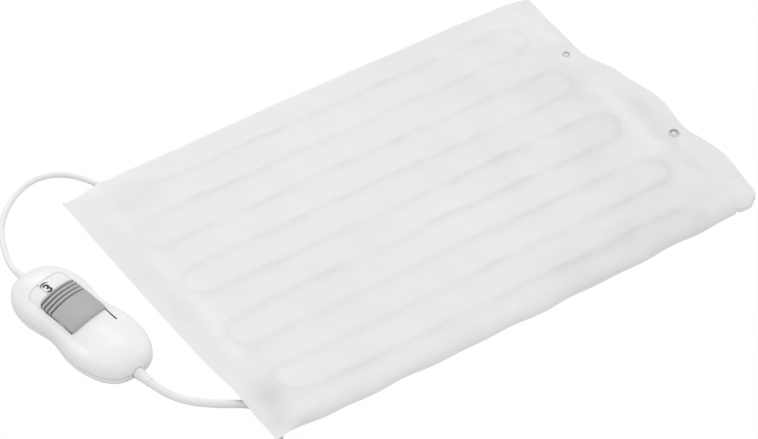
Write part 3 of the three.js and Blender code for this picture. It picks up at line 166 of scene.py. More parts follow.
pad_cord_route = [
    (-0.16944, 0.1192, 0.00595),
    (-0.16944, 0.126, 0.0059),
    (-0.169, 0.132, 0.0051),
    (-0.1694, 0.138, 0.0042),
    (-0.1706, 0.1445, 0.003),
    (-0.1736, 0.152, 0.0022),
    (-0.1789, 0.16, 0.002),
    (-0.1873, 0.167, 0.002),
    (-0.1974, 0.1706, 0.002),
    (-0.2078, 0.1702, 0.002),
    (-0.2185, 0.1662, 0.002),
    (-0.2297, 0.159, 0.002),
    (-0.2394, 0.1501, 0.002),
    (-0.2462, 0.1412, 0.0021),
    (-0.2519, 0.1306, 0.0026),
    (-0.2564, 0.1191, 0.0035),
    (-0.2595, 0.1104, 0.0046),
    (-0.2617, 0.1019, 0.0057),
    controller_point(half_length + relief_outside),
    controller_point(half_length),
    controller_point(board_far_end + cord_end_gap),
]
mains_route = [
    controller_point(board_near_end - cord_end_gap),
    controller_point(-half_length),
    controller_point(-half_length - relief_outside),
    (-0.2414, -0.0496, 0.0061),
    (-0.2396, -0.0554, 0.0054),
    (-0.2364, -0.062, 0.0042),
    (-0.2319, -0.0689, 0.0032),
    (-0.2264, -0.0754, 0.00275),
    (-0.2202, -0.0814, 0.00275),
    (-0.2136, -0.0868, 0.00275),
    (-0.2069, -0.0915, 0.00275),
    (-0.2, -0.0964, 0.00275),
    (-0.1944, -0.1019, 0.00275),
    (-0.1907, -0.1086, 0.00275),
    (-0.1897, -0.1153, 0.00275),
    (-0.1909, -0.1224, 0.00275),
    (-0.1941, -0.1288, 0.00275),
    (-0.1986, -0.1366, 0.00275),
    (-0.2056, -0.1487, 0.00275),
    (-0.2136, -0.1626, 0.00275),
    (-0.2216, -0.1764, 0.003),
    (-0.2276, -0.1868, 0.0035),
    (-0.2326, -0.1954, 0.00375),
    (-0.23525, -0.2, 0.00375),
]
coil_entry = Vector((-0.2383, -0.2053, 0.00375))
coil_heading = math.radians(-120)
coil_turns_per_layer = 7 / 3
coil_layers = 4
coil_mid_radius = 0.03025
turn_spacing = 0.006
coil_steps_per_turn = 48
climb_turns = 0.5
tail_descent = 0.042
tail_run = 0.008
plug_thickness = 0.0137


def catmull_points(points, steps_per_span=6):
    """Points along the centripetal Catmull-Rom curve through points."""
    through = [Vector(p) for p in points]
    through.insert(0, 2 * through[0] - through[1])
    through.append(2 * through[-1] - through[-2])
    found = []
    for p0, p1, p2, p3 in zip(through, through[1:], through[2:], through[3:]):
        d0, d1, d2 = (math.sqrt((b - a).length) for a, b in ((p0, p1), (p1, p2), (p2, p3)))
        leave = ((p1 - p0) / d0 - (p2 - p0) / (d0 + d1) + (p2 - p1) / d1) * d1
        arrive = ((p2 - p1) / d1 - (p3 - p1) / (d1 + d2) + (p3 - p2) / d2) * d1
        for k in range(steps_per_span):
            t = k / steps_per_span
            square = (-3 * p1 + 3 * p2 - 2 * leave - arrive) * t * t
            found.append(p1 + leave * t + square + (2 * p1 - 2 * p2 + leave + arrive) * t**3)
    found.append(through[-2])
    return found


def coil_points():
    outer = coil_mid_radius + coil_turns_per_layer * turn_spacing / 2
    start = coil_heading - math.pi / 2
    centre = coil_entry - Vector((math.cos(start), math.sin(start), 0)) * outer
    total = coil_turns_per_layer * coil_layers
    count = round(total * coil_steps_per_turn)
    found = []
    for i in range(count + 1):
        turn = i / count * total
        leg = min(int(turn / coil_turns_per_layer), coil_layers - 1)
        into = turn - leg * coil_turns_per_layer
        inward = into if leg % 2 == 0 else coil_turns_per_layer - into
        radius = outer - inward * turn_spacing
        layer = 0
        for k in range(1, coil_layers):
            climb = min(max((turn - k * coil_turns_per_layer) / climb_turns + 0.5, 0), 1)
            layer += climb * climb * (3 - 2 * climb)
        angle = start + turn * 2 * math.pi
        out = Vector((math.cos(angle), math.sin(angle), 0)) * radius
        found.append(centre + out + Vector((0, 0, layer * turn_spacing)))
    return found, centre


coil_line, coil_centre = coil_points()
coil_end = coil_line[-1] + Vector((mains_diameter, 0, 0))
plug_level = plug_thickness / 2
tail_drop = coil_end.z - plug_level
tail_dip_share = 0.03
tail_shares = [
    (0.36, 0.2),
    (0.5, 0.46),
    (0.66, 0.76),
    (0.84, 0.96),
    (1, 1),
]
tail_route = [coil_end, coil_end + Vector((tail_run, 0, -tail_drop * tail_dip_share))]
tail_route += [coil_end + Vector((tail_descent * along, 0, -tail_drop * down)) for along, down in tail_shares]
tail_route.append(tail_route[-1] + Vector((tail_run, 0, 0)))
pad_cord_line = catmull_points(pad_cord_route)
mains_line = catmull_points(mains_route) + coil_line + catmull_points(tail_route)


# Materials
class Surface:
    """A material whose looks vary from place to place in the piece's own frame."""

    def __init__(self, name):
        self.material = bpy.data.materials.new(name)
        self.material.use_nodes = True
        self.tree = self.material.node_tree
        self.shader = self.tree.nodes["Principled BSDF"]
        self.place = self.node("TexCoord").outputs["Object"]

    def node(self, kind, **values):
        made = self.tree.nodes.new("ShaderNode" + kind)
        for name, value in values.items():
            setattr(made, name, value)
        return made

    def feed(self, made, values):
        """Gives each named socket of a node its value, or joins it to the socket that is given."""
        for name, value in values.items():
            if isinstance(value, bpy.types.NodeSocket):
                self.tree.links.new(value, made.inputs[name])
            else:
                made.inputs[name].default_value = value
        return made

    def look(self, values):
        self.feed(self.shader, values)
        return self.material

    def calc(self, operation, *values):
        return self.feed(self.node("Math", operation=operation), dict(enumerate(values))).outputs[0]

    def noise(self, scale, detail=3, roughness=0.5):
        values = {"Scale": scale, "Detail": detail, "Roughness": roughness, "Vector": self.place}
        return self.feed(self.node("TexNoise"), values).outputs[0]

    def vary(self, value, colour, low, high):
        """The colour, times low where value is small and times high where it is large."""
        ramp = self.node("ValToRGB")
        for element, position, factor in zip(ramp.color_ramp.elements, (0.3, 0.7), (low, high)):
            element.position = position
            element.color = (*(channel * factor for channel in colour), 1)
        return self.feed(ramp, {"Fac": value}).outputs[0]

    def bump(self, height, strength, distance):
        values = {"Strength": strength, "Distance": distance, "Height": height}
        return self.feed(self.node("Bump"), values).outputs[0]

    def marked(self, colour, mark, depth, waver=0):
        """The colour, darker by depth where the mesh's attribute mark is 1; waver makes that uneven."""
        share = self.node("Attribute", attribute_name=mark).outputs["Fac"]
        if waver:
            drift = self.vary(self.noise(22, 3, 0.6), (1, 1, 1), 1 - waver, 1 + waver)
            share = self.calc("MULTIPLY", share, drift)
        factor = self.calc("SUBTRACT", 1, self.calc("MULTIPLY", share, depth))
        scaled = self.node("VectorMath", operation="SCALE")
        return self.feed(scaled, {0: colour, "Scale": factor}).outputs[0]


moulded_grain = 0.00035
cotton_thread = 0.0009
cotton_relief = 0.00006
felt_thread = 0.0016
felt_relief = 0.0002
metal_relief = 0.0003
# How much a plastic's mark darkens it: painted shade in the knob's grooves and the studs' bowls
mark_painted_shade = 0.5
# How much the cover's mark darkens its cloth, where the wire shows through and with painted shade and painted
# light, and how uneven that is
hollow_darkness = 0.052
hollow_waver = 0.75


def plastic(name, colour, roughness, mottle, coat=0, mark=None):
    """Moulded plastic: faint mottling of its colour, uneven gloss and a fine moulded grain."""
    made = Surface(name)
    tint = made.vary(made.noise(60, 4), colour, 1 - mottle, 1 + mottle)
    looks = {
        # The mark paints shade into the colour
        "Base Color": made.marked(tint, mark, mark_painted_shade) if mark else tint,
        "Roughness": made.vary(made.noise(220, 5), (roughness,) * 3, 0.85, 1.15),
        "Coat Weight": coat,
        "Normal": made.bump(made.noise(1 / moulded_grain, 2), 0.03, moulded_grain * 0.2),
    }
    return made.look(looks)


def metal(name, colour, roughness=0.3):
    """Plated metal with a fine grain and a little tarnish."""
    made = Surface(name)
    looks = {
        "Metallic": 1,
        "Base Color": made.vary(made.noise(150, 4), colour, 0.85, 1.08),
        "Roughness": made.vary(made.noise(500, 4), (roughness,) * 3, 0.7, 1.3),
        "Normal": made.bump(made.noise(1500, 2), 0.1, metal_relief),
    }
    return made.look(looks)


def woven(name, colour, thread, relief, patch, sheen, mark=None):
    """Woven cloth: crossing threads, slubs, and cloudy variation of its colour."""
    made = Surface(name)
    split = made.feed(made.node("SeparateXYZ"), {0: made.place})
    waver = made.noise(1 / (thread * 14), 2)
    turn = 2 * math.pi / thread
    waves = []
    for axis in (0, 1):
        phase = made.calc("ADD", made.calc("MULTIPLY", split.outputs[axis], turn), waver)
        waves.append(made.calc("SINE", phase))
    slub = made.noise(1 / (thread * 2.5), 4, 0.65)
    height = made.calc("ADD", made.calc("MULTIPLY", made.calc("MULTIPLY", *waves), 0.35), slub)
    broad = made.calc("MULTIPLY", made.noise(14, 5, 0.6), 0.75)
    clouds = made.calc("ADD", broad, made.calc("MULTIPLY", slub, 0.25))
    tint = made.vary(clouds, colour, 1 - patch, 1 + patch * 0.6)
    looks = {
        "Base Color": made.marked(tint, mark, hollow_darkness, hollow_waver) if mark else tint,
        "Roughness": 0.92,
        "Sheen Weight": sheen,
        "Sheen Roughness": 0.4,
        "Specular IOR Level": 0.25,
        "Normal": made.bump(height, 0.5, relief),
    }
    return made.look(looks)


def printed(name, colour):
    """Printing ink, slightly uneven in its cover."""
    made = Surface(name)
    return made.look({"Base Color": made.vary(made.noise(900, 3), colour, 0.7, 1.3), "Roughness": 0.5})


cotton_white = (0.79, 0.79, 0.8)
# The cover's mark darkens the cloth over the wire and paints shade and light into it
cover_cloth = woven("cover_cotton", cotton_white, cotton_thread, cotton_relief, 0.03, 0.1, "wire_show_and_painted_light")
felt_cloth = woven("needled_felt", (0.72, 0.7, 0.66), felt_thread, felt_relief, 0.08, 0.25)
shell_white = plastic("shell_white", (0.83, 0.83, 0.835), 0.3, 0.006, coat=0.15)
soft_white = plastic("soft_white", (0.8, 0.8, 0.8), 0.45, 0.015)
cord_white = plastic("cord_white", (0.82, 0.82, 0.825), 0.38, 0.012)
# The knob's mark paints shade into its grooves
knob_grey = plastic("knob_grey", (0.4, 0.4, 0.405), 0.42, 0.02, mark="groove_depth")
stud_white = plastic("stud_white", (0.84, 0.84, 0.84), 0.18, 0.01, coat=0.4)
# The studs' caps are painted greyer than white plastic, as shade of the dimples they sit in; their mark
# paints shade into their bowls
stud_grey_painted_shade = plastic("stud_grey_painted_shade", (0.68, 0.68, 0.68), 0.2, 0.06, coat=0.2, mark="groove_depth")
scale_pale = plastic("scale_pale", (0.8, 0.8, 0.8), 0.32, 0.008)
dark_plastic = plastic("dark_plastic", (0.03, 0.03, 0.032), 0.45, 0.1)
yellow_plastic = plastic("yellow_plastic", (0.6, 0.4, 0.05), 0.4, 0.05)
wire_jacket = plastic("wire_jacket", (0.35, 0.09, 0.06), 0.5, 0.08)
board_green = plastic("board_green", (0.03, 0.15, 0.07), 0.4, 0.15)
brass_metal = metal("brass_metal", (0.6, 0.4, 0.12))
steel_metal = metal("steel_metal", (0.55, 0.56, 0.57))
ink_black = printed("ink_black", (0.02, 0.02, 0.02))


# Pieces
def link(obj, material, slot, *nodes, body="pad", at=None):
    """Shows a new piece at a place, on the body that carries it, for the nodes that it stands for."""
    if at:
        obj.data.transform(at)
    obj.data.materials.clear()
    obj.data.materials.append(material)
    show(obj)
    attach(obj, body)
    if nodes:
        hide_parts(*nodes)
    return obj


def finish_shading(mesh, sharp_degrees):
    mesh.polygons.foreach_set("use_smooth", [True] * len(mesh.polygons))
    mesh.set_sharp_from_angle(angle=math.radians(sharp_degrees))


def mesh_object(name, verts, faces, sharp_degrees=40):
    mesh = bpy.data.meshes.new(name)
    mesh.from_pydata([tuple(map(float, v)) for v in verts], [], faces)
    mesh.validate()
    mesh.update()
    finish_shading(mesh, sharp_degrees)
    return bpy.data.objects.new(name, mesh)


def from_work(name, work, sharp_degrees=40):
    mesh = bpy.data.meshes.new(name)
    work.to_mesh(mesh)
    work.free()
    finish_shading(mesh, sharp_degrees)
    return bpy.data.objects.new(name, mesh)


def weld(obj, sharp_degrees, distance=1e-7, also=()):
    """Joins vertices closer than distance, the other meshes' too, and turns every face outward."""
    work = bmesh.new()
    for mesh in (obj.data, *also):
        work.from_mesh(mesh)
    bmesh.ops.remove_doubles(work, verts=work.verts, dist=distance)
    bmesh.ops.recalc_face_normals(work, faces=work.faces)
    work.to_mesh(obj.data)
    work.free()
    finish_shading(obj.data, sharp_degrees)
    return obj


def places(x, y, z):
    return np.stack(np.broadcast_arrays(x, y, z), -1)


def grid_faces(columns, rows, first=0, flip=False):
    """Faces over a grid of vertices, of which first is the first."""
    faces = []
    for i in range(columns - 1):
        for j in range(rows - 1):
            a = first + i * rows + j
            quad = (a, a + rows, a + rows + 1, a + 1)
            faces.append(quad[::-1] if flip else quad)
    return faces


def strip(path, upper, lower):
    """Faces between two copies of a path; the copies' grids start at the vertices upper and lower."""
    return [(upper + b, upper + a, lower + a, lower + b) for a, b in zip(path, path[1:])]


def border(columns, rows):
    """A grid's border in two paths: the last column, and the three other sides back to its start."""
    last = [(columns - 1) * rows + j for j in range(rows)]
    others = [i * rows + rows - 1 for i in reversed(range(columns))]
    others += list(range(rows - 2, 0, -1)) + [i * rows for i in range(columns)]
    return last, others


def slab(name, x, y, upper, lower, sharp_degrees):
    """A closed sheet between two heights over one grid of places."""
    total = x.size
    last, others = border(*x.shape)
    faces = grid_faces(*x.shape) + grid_faces(*x.shape, total, True) + strip(last + others[1:], 0, total)
    verts = np.concatenate([places(x, y, z).reshape(-1, 3) for z in (upper, lower)])
    return mesh_object(name, verts, faces, sharp_degrees)


def loft(name, rings, sharp_degrees=40, caps=(True, True), closed=False):
    """A skin over rings of equal counts; closed joins the last ring to the first."""
    count = len(rings[0])
    pairs = list(zip(range(len(rings)), range(1, len(rings))))
    if closed:
        pairs.append((len(rings) - 1, 0))
    faces = []
    for a, b in pairs:
        for i in range(count):
            j = (i + 1) % count
            faces.append((a * count + i, a * count + j, b * count + j, b * count + i))
    if caps[0]:
        faces.append(tuple(reversed(range(count))))
    if caps[1]:
        first = (len(rings) - 1) * count
        faces.append(tuple(range(first, first + count)))
    return mesh_object(name, [p for ring in rings for p in ring], faces, sharp_degrees)


def turned(name, profile, segments=64, sharp_degrees=40):
    """A lathe body about Z from (radius, height) pairs; a radius of 0 closes it on its axis."""
    angles = [k / segments * 2 * math.pi for k in range(segments)]
    rings = [[(r * math.cos(a), r * math.sin(a), height) for a in angles] for r, height in profile]
    return weld(loft(name, rings, sharp_degrees, caps=(False, False)), sharp_degrees)


def block(name, width, length, height, centre, bevel=0):
    """An upright box with rounded edges."""
    work = bmesh.new()
    bmesh.ops.create_cube(work, size=1)
    bmesh.ops.scale(work, verts=work.verts, vec=(width, length, height))
    if bevel:
        bmesh.ops.bevel(work, geom=work.edges[:], offset=bevel, segments=3, profile=0.5, affect="EDGES")
    bmesh.ops.translate(work, verts=work.verts, vec=centre)
    return from_work(name, work)


def rod(name, radius, start, end):
    """A plain cylinder between two points."""
    axis = Vector(end) - Vector(start)
    turn = axis.to_track_quat("Z", "Y").to_matrix().to_4x4()
    obj = turned(name, [(0, 0), (radius, 0), (radius, axis.length), (0, axis.length)], 32)
    obj.data.transform(Matrix.Translation(start) @ turn)
    return obj


def cut(obj, cutters, sharp_degrees):
    """Takes the cutters' space out of obj."""
    show(obj)
    for cutter in cutters:
        show(cutter)
        step = obj.modifiers.new("cut", "BOOLEAN")
        step.operation = "DIFFERENCE"
        step.solver = "EXACT"
        step.object = cutter
    bpy.context.view_layer.update()
    result = bpy.data.meshes.new_from_object(obj.evaluated_get(bpy.context.evaluated_depsgraph_get()))
    obj.modifiers.clear()
    obj.data = result
    finish_shading(result, sharp_degrees)
    for cutter in cutters:
        bpy.data.objects.remove(cutter)
    return obj


def cord_piece(name, points, diameter, *nodes):
    curve = bpy.data.curves.new(name, "CURVE")
    curve.dimensions = "3D"
    curve.bevel_depth = diameter / 2
    curve.bevel_resolution = 5
    curve.use_fill_caps = True
    spline = curve.splines.new("POLY")
    spline.points.add(len(points) - 1)
    for point, at in zip(spline.points, points):
        point.co = (*at, 1)
    spline.use_smooth = True
    return link(bpy.data.objects.new(name, curve), cord_white, "cord_jacket", *nodes)


pad_cord = cord_piece("pad_cord_tube", pad_cord_line, pad_cord_diameter, "pad_cord")
mains_cord = cord_piece(
    "mains_cord_tube", mains_line, mains_diameter, "mains_cord", "mains_cord_coil", "mains_cord_tail"
)


# Cover
def smooth(t):
    t = np.clip(t, 0, 1)
    return t * t * (3 - 2 * t)


def fall(distance, flat, reach):
    return 1 - smooth((distance - flat) / (reach - flat))


def pass_y(index):
    return first_pass_y - index * pass_pitch


def wire_distance(x, y):
    """Distance in plan from the heating wire's centre line."""
    least = np.full(np.shape(x), 1.0)
    for i in range(pass_count):
        low = block_high_x if i == 0 else straight_low_x
        high = straight_high_x
        dx = np.maximum(np.maximum(low - x, x - high), 0)
        least = np.minimum(least, np.hypot(dx, y - pass_y(i)))
        if i + 1 == pass_count:
            continue
        centre = straight_high_x if i % 2 == 0 else straight_low_x
        outward = (x - centre) if i % 2 == 0 else (centre - x)
        ring = np.abs(np.hypot(outward, y - (pass_y(i) - turn_radius)) - turn_radius)
        least = np.where(outward >= 0, np.minimum(least, ring), least)
    return least


mouth_shares = [-1, -0.9, -0.6, -0.345, -0.1, 0.2, 0.45, 0.7, 1]
mouth_offset_shares = [0.003, 0.014, 0.024, 0.013, 0.023, 0.008, -0.016, -0.012, -0.006]
stud_y_shares = {"far": 0.481, "near": -0.3456}
stud_inset = 0.01


def mouth_x(y):
    at = np.array(mouth_shares) * half_width
    x = cover_length / 2 + np.array(mouth_offset_shares) * cover_length
    i = np.clip(np.searchsorted(at, y) - 1, 0, len(at) - 2)
    t = np.clip((y - at[i]) / (at[i + 1] - at[i]), 0, 1)
    return x[i] + (x[i + 1] - x[i]) * t * t * (3 - 2 * t)


studs = {
    name: (float(mouth_x(np.array(share * half_width))) - stud_inset, share * half_width)
    for name, share in stud_y_shares.items()
}

mains_plan = [p[:2] for p in mains_route if p[0] > left_x - mains_diameter]
lead_lift = mains_diameter + 2 * fit_gap
lead_lift_flat = mains_diameter * 0.8
lead_lift_reach = mains_diameter * 8


def line_distance(x, y, points):
    """Distance in plan from the nearest place on the line through points."""
    least = np.full(np.shape(x), 1.0)
    for (x0, y0), (x1, y1) in zip(points, points[1:]):
        dx, dy = x1 - x0, y1 - y0
        t = np.clip(((x - x0) * dx + (y - y0) * dy) / (dx * dx + dy * dy), 0, 1)
        least = np.minimum(least, np.hypot(x - x0 - t * dx, y - y0 - t * dy))
    return least


def lift_at(x, y):
    return lead_lift * fall(line_distance(x, y, mains_plan), lead_lift_flat, lead_lift_reach)


def block_share(x, y):
    beyond_end = np.maximum(np.maximum(block_low_x - x, x - block_high_x), 0)
    beyond_side = np.maximum(np.abs(y - block_y) - block_width / 2, 0)
    return fall(np.hypot(beyond_end, beyond_side), 0, turn_radius)


def tunnel_share(x, y):
    """How far the seam is raised over the pad's cord."""
    beyond = np.clip((y - inner_high_y) / (half_width - inner_high_y), 0, 1)
    return fall(np.abs(x - pad_cord_route[0][0]), pad_cord_diameter / 2, pad_cord_diameter * 2) * beyond


wave_count = 40
shortest_wave = 0.018
longest_wave = 0.11
unevenness = 0.0004
rng = np.random.default_rng(7)
wave_angles = rng.uniform(0, 2 * math.pi, wave_count)
wave_phases = rng.uniform(0, 2 * math.pi, wave_count)
wave_lengths = rng.uniform(shortest_wave, longest_wave, wave_count)


def uneven(x, y):
    """Broad low waves in all directions."""
    total = np.zeros(np.shape(x))
    for angle, phase, length in zip(wave_angles, wave_phases, wave_lengths):
        along = (x * math.cos(angle) + y * math.sin(angle)) / length
        total += np.sin(2 * math.pi * along + phase) * (length / wave_lengths.max())
    return unevenness * total / math.sqrt(wave_count / 4)


# Each stud's dip: the cloth's level at the stud and how far the dip reaches
stud_dips = {"far": (0.0066, 0.013), "near": (0.0062, 0.021)}
stud_seat = 0.0035
mouth_top = 0.0074
mouth_bottom = 0.0012
corner_drop = 0.0025
corner_drop_from = 0.085
corner_drop_run = 0.045
seam_drop = 0.0018
tunnel_height = pad_cord_diameter * 1.1
left_margin = inner_low_x - left_x
near_margin = inner_low_y + half_width
far_margin = half_width - inner_high_y
border_flat = 0.0055
border_rise = 0.0175
near_roll = 0.0085
far_roll = 0.005
bottom_roll_power = 0.6
ridge_height = 0.0006

# Folds (raised) and creases (sunk): points in plan, reach to each side and height
rumples = [
    ([(0.1752, 0.012), (0.1745, -0.008), (0.1728, -0.03), (0.1705, -0.054)], 0.0072, 0.0012),
    ([(0.1935, -0.012), (0.1875, -0.028), (0.185, -0.044)], 0.0065, -0.0009),
    ([(0.1905, -0.05), (0.1862, -0.062), (0.184, -0.079), (0.1835, -0.1)], 0.004, -0.0007),
    ([(0.181, 0.106), (0.1825, 0.088), (0.1815, 0.074)], 0.009, 0.0012),
    ([(0.172, 0.062), (0.171, 0.044), (0.1695, 0.03)], 0.006, -0.0009),
    ([(0.162, 0.018), (0.166, 0.01)], 0.006, -0.0007),
    ([(0.148, 0.12), (0.1585, 0.104), (0.1635, 0.088)], 0.009, 0.0007),
    ([(-0.176, -0.068), (-0.181, -0.09), (-0.1885, -0.112), (-0.1945, -0.129)], 0.007, -0.0012),
    ([(-0.1865, -0.105), (-0.1785, -0.118)], 0.012, -0.0012),
    ([(-0.1695, -0.1), (-0.177, -0.128)], 0.009, 0.0006),
]
# The rumples' height that gives the cloth its full painted shade in creases and painted light on folds
rumple_mark = 0.0012


def rumple(x, y):
    total = np.zeros(np.shape(x))
    for points, reach, height in rumples:
        total += height * np.exp(-((line_distance(x, y, points) / reach) ** 2))
    return total


def flap_share(x, y_line):
    """0 over the inner pad, 1 at the open end's edge."""
    return smooth((x - inner_high_x) / (mouth_x(y_line) - inner_high_x))


def seam_level(x, y_line):
    level = seam_height - seam_drop * flap_share(x, y_line)
    return level + tunnel_height * tunnel_share(x, y_line)


def cover_top_height(x, y, x_line, y_line):
    """Height of the cover's upper face: x, y in plan and x_line, y_line on the flat cut cloth."""
    ridge = fall(wire_distance(x, y_line), ridge_flat, ridge_reach)
    full = cover_crest - ridge_height * (1 - ridge) + block_rise * block_share(x, y_line)
    open_top = mouth_top - corner_drop * smooth((-y_line - corner_drop_from) / corner_drop_run)
    full = full + (open_top - full) * flap_share(x, y_line)
    full = full + rumple(x, y) + uneven(x, y) + slack_at(x_line, y_line)
    for name, (sx, sy) in studs.items():
        level, reach = stud_dips[name]
        full = full + (level - full) * fall(np.hypot(x - sx, y - sy), stud_seat, reach)
    inside = np.clip(np.minimum((y_line + half_width) / near_roll, (half_width - y_line) / far_roll), 0, 1)
    rise = smooth((x_line - left_x - border_flat) / border_rise)
    edge = seam_level(x, y_line)
    return edge + (full - edge) * (np.sqrt(np.clip(1 - (1 - inside) ** 2, 0, 1)) * rise) + lift_at(x, y)


far_swell_share = 1.4
left_swell = 0.0015
left_swell_reach = 0.03
near_ripple = 0.00045
ripple_lengths = (0.0117, 0.0071)
ripple_phase = 0.6
corner_round = 0.008
corner_pull = 0.0024
notch_at = 0.1814
notch_half_width = 0.0016
notch_depth = 0.0019

# The near left corner lies askew: its shift, and where along and across the pad the shift begins
corner_shift_x = -0.0036
corner_shift_y = -0.0053
askew_from_x = -0.15
askew_run_x = 0.05
askew_from_y = (-0.06, -0.086)
askew_run_y = (0.076, 0.05)


def in_plan(x_line, y_line):
    """Where a point of the cut cloth lies: the sides swell a little, and the open end is uneven."""
    bulge = side_bulge * (1 - (2 * x_line / cover_length) ** 2)
    beyond_far = np.clip((y_line - inner_high_y) / far_margin, 0, 1)
    beyond_near = np.clip((inner_low_y - y_line) / near_margin, 0, 1)
    long_wave, short_wave = (x_line / length for length in ripple_lengths)
    ripple = near_ripple * (np.sin(long_wave + ripple_phase) + np.sin(short_wave))
    y = y_line + bulge * far_swell_share * beyond_far - (bulge + ripple) * beyond_near
    share = np.clip((x_line - straight_high_x) / (cover_length / 2 - straight_high_x), 0, 1)
    x = x_line + (mouth_x(y_line) - cover_length / 2) * share
    x = x - left_swell * (1 - (y_line / half_width) ** 2) * fall(x_line - left_x, 0, left_swell_reach)
    along = (askew_from_x - x_line) / askew_run_x
    across = [(start - y_line) / run for start, run in zip(askew_from_y, askew_run_y)]
    x = x + corner_shift_x * np.clip(across[0], 0, 1) * smooth(along)
    y = y + corner_shift_y * np.clip(along, 0, 1) * smooth(across[1])
    from_mouth = (cover_length / 2 - x_line) / corner_round
    from_near = (y_line + half_width) / corner_round
    pull = corner_pull * smooth(1 - from_mouth) * smooth(1 - from_near)
    notch = notch_depth * np.exp(-(((x_line - notch_at) / notch_half_width) ** 2)) * smooth(1 - from_near)
    return x - pull, y + pull + notch


def cover_bottom_height(x, y, x_line, y_line):
    from_left = (x_line - left_x) / left_margin
    from_near = (y_line + half_width) / near_margin
    from_far = (half_width - y_line) / far_margin
    inside = np.clip(np.minimum(from_left, np.minimum(from_near, from_far)), 0, 1)
    low = mouth_bottom * np.clip((x - inner_high_x) / (cover_length / 2 - inner_high_x), 0, 1)
    edge = seam_level(x, y_line) - (seam_height + tunnel_height - fit_gap) * tunnel_share(x, y_line)
    return edge + (low - edge) * inside**bottom_roll_power + lift_at(x, y)


# The cloth is a little larger than what it covers: a simulation finds how it buckles between its ridges
slack_columns = 84
slack_rows = 58
slack_frames = 20
slack_excess = 0.014
slack_share = 0.75
slack_cap = 0.0006
slack_smoothings = 2
wire_hold_share = 0.35
wire_hold_flat = 0.001
wire_hold_reach = 0.006
stud_hold_flat = 0.006
stud_hold_reach = 0.012
slack_settings = {
    "quality": 6,
    "mass": 0.1,
    "tension_stiffness": 15,
    "compression_stiffness": 15,
    "shear_stiffness": 5,
    "bending_stiffness": 0.1,
    "vertex_group_mass": "held",
    "shrink_min": -slack_excess,
    "use_pressure": True,
    "uniform_pressure_force": 0.4,
}
buckles = np.zeros((slack_columns, slack_rows))


def cubic_shares(t):
    return (
        ((2 - t) * t - 1) * t / 2,
        ((3 * t - 5) * t * t + 2) / 2,
        ((4 - 3 * t) * t + 1) * t / 2,
        (t - 1) * t * t / 2,
    )


def slack_at(x_line, y_line):
    """The buckles' height at a place, by a cubic curve each way through the coarse grid."""
    u = np.clip((x_line - left_x) / cover_length, 0, 1) * (slack_columns - 1)
    v = np.clip((y_line + half_width) / cover_width, 0, 1) * (slack_rows - 1)
    i = np.minimum(u.astype(int), slack_columns - 2)
    j = np.minimum(v.astype(int), slack_rows - 2)
    total = np.zeros(np.shape(u))
    for a, share_u in enumerate(cubic_shares(u - i)):
        for b, share_v in enumerate(cubic_shares(v - j)):
            at = buckles[np.clip(i + a - 1, 0, slack_columns - 1), np.clip(j + b - 1, 0, slack_rows - 1)]
            total += share_u * share_v * at
    return total


def simulate_slack():
    x_line, y_line = np.meshgrid(
        np.linspace(left_x, cover_length / 2, slack_columns),
        np.linspace(-half_width, half_width, slack_rows),
        indexing="ij",
    )
    x, y = in_plan(x_line, y_line)
    z = cover_top_height(x, y, x_line, y_line)
    sheet = mesh_object("slack_sheet", places(x, y, z).reshape(-1, 3), grid_faces(slack_columns, slack_rows))
    show(sheet)
    held = wire_hold_share * fall(wire_distance(x, y_line), wire_hold_flat, wire_hold_reach)
    for sx, sy in studs.values():
        held = np.maximum(held, fall(np.hypot(x - sx, y - sy), stud_hold_flat, stud_hold_reach))
    held[0, :] = held[:, 0] = held[:, -1] = 1
    group = sheet.vertex_groups.new(name="held")
    for k, share in enumerate(held.reshape(-1)):
        if share > 0:
            group.add([k], float(share), "REPLACE")
    step = sheet.modifiers.new("slack", "CLOTH")
    for name, value in slack_settings.items():
        setattr(step.settings, name, value)
    step.settings.effector_weights.gravity = 0
    step.collision_settings.use_collision = False
    step.point_cache.frame_start = 1
    step.point_cache.frame_end = slack_frames
    for frame_number in range(1, slack_frames + 1):
        scene.frame_set(frame_number)
    moved = sheet.evaluated_get(bpy.context.evaluated_depsgraph_get()).data
    coordinates = np.empty(len(moved.vertices) * 3)
    moved.vertices.foreach_get("co", coordinates)
    found = coordinates.reshape(slack_columns, slack_rows, 3)[:, :, 2] - z
    bpy.data.objects.remove(sheet)
    scene.frame_set(1)
    for _ in range(slack_smoothings):
        for axis in (0, 1):
            found = (np.roll(found, 1, axis) + 2 * found + np.roll(found, -1, axis)) / 4
    found[0, :] = found[-1, :] = found[:, 0] = found[:, -1] = 0
    return slack_cap * np.tanh(slack_share * found / slack_cap)


buckles = simulate_slack()


def lines(low, high, count, crowd):
    """count values from low to high, closer together near both ends and in the middle."""
    t = np.linspace(0, 1, count)
    return low + (high - low) * (t - crowd * np.sin(4 * math.pi * t) / (2 * math.pi))


cloth_columns = 260
cloth_rows = 200
end_crowd_share = 0.12
side_crowd_share = 0.2
visual_cloth = 0.0008
sewn_gap_share = 1.3
weld_reach = 1e-5

# Painted shade and painted light on the cloth, and the wire showing through it: how strong, and where they
# lie
wire_mark_reach = 0.0031
near_painted_shade = 1.0
near_mark_run = 0.06
border_painted_light = 0.9
border_mark_from_edge = 0.018
border_mark_reach = 0.008
border_mark_run = 0.06
block_mark = 0.6
right_painted_shade = 0.9
right_mark_from = -0.02
right_mark_run = 0.2


def mark_mesh(mesh, name, share_at):
    """Keeps a share for every vertex, worked out from the vertices' places."""
    at = np.empty(len(mesh.vertices) * 3)
    mesh.vertices.foreach_get("co", at)
    attribute = mesh.attributes.new(name=name, type="FLOAT", domain="POINT")
    attribute.data.foreach_set("value", share_at(at.reshape(-1, 3)).astype(np.float32))


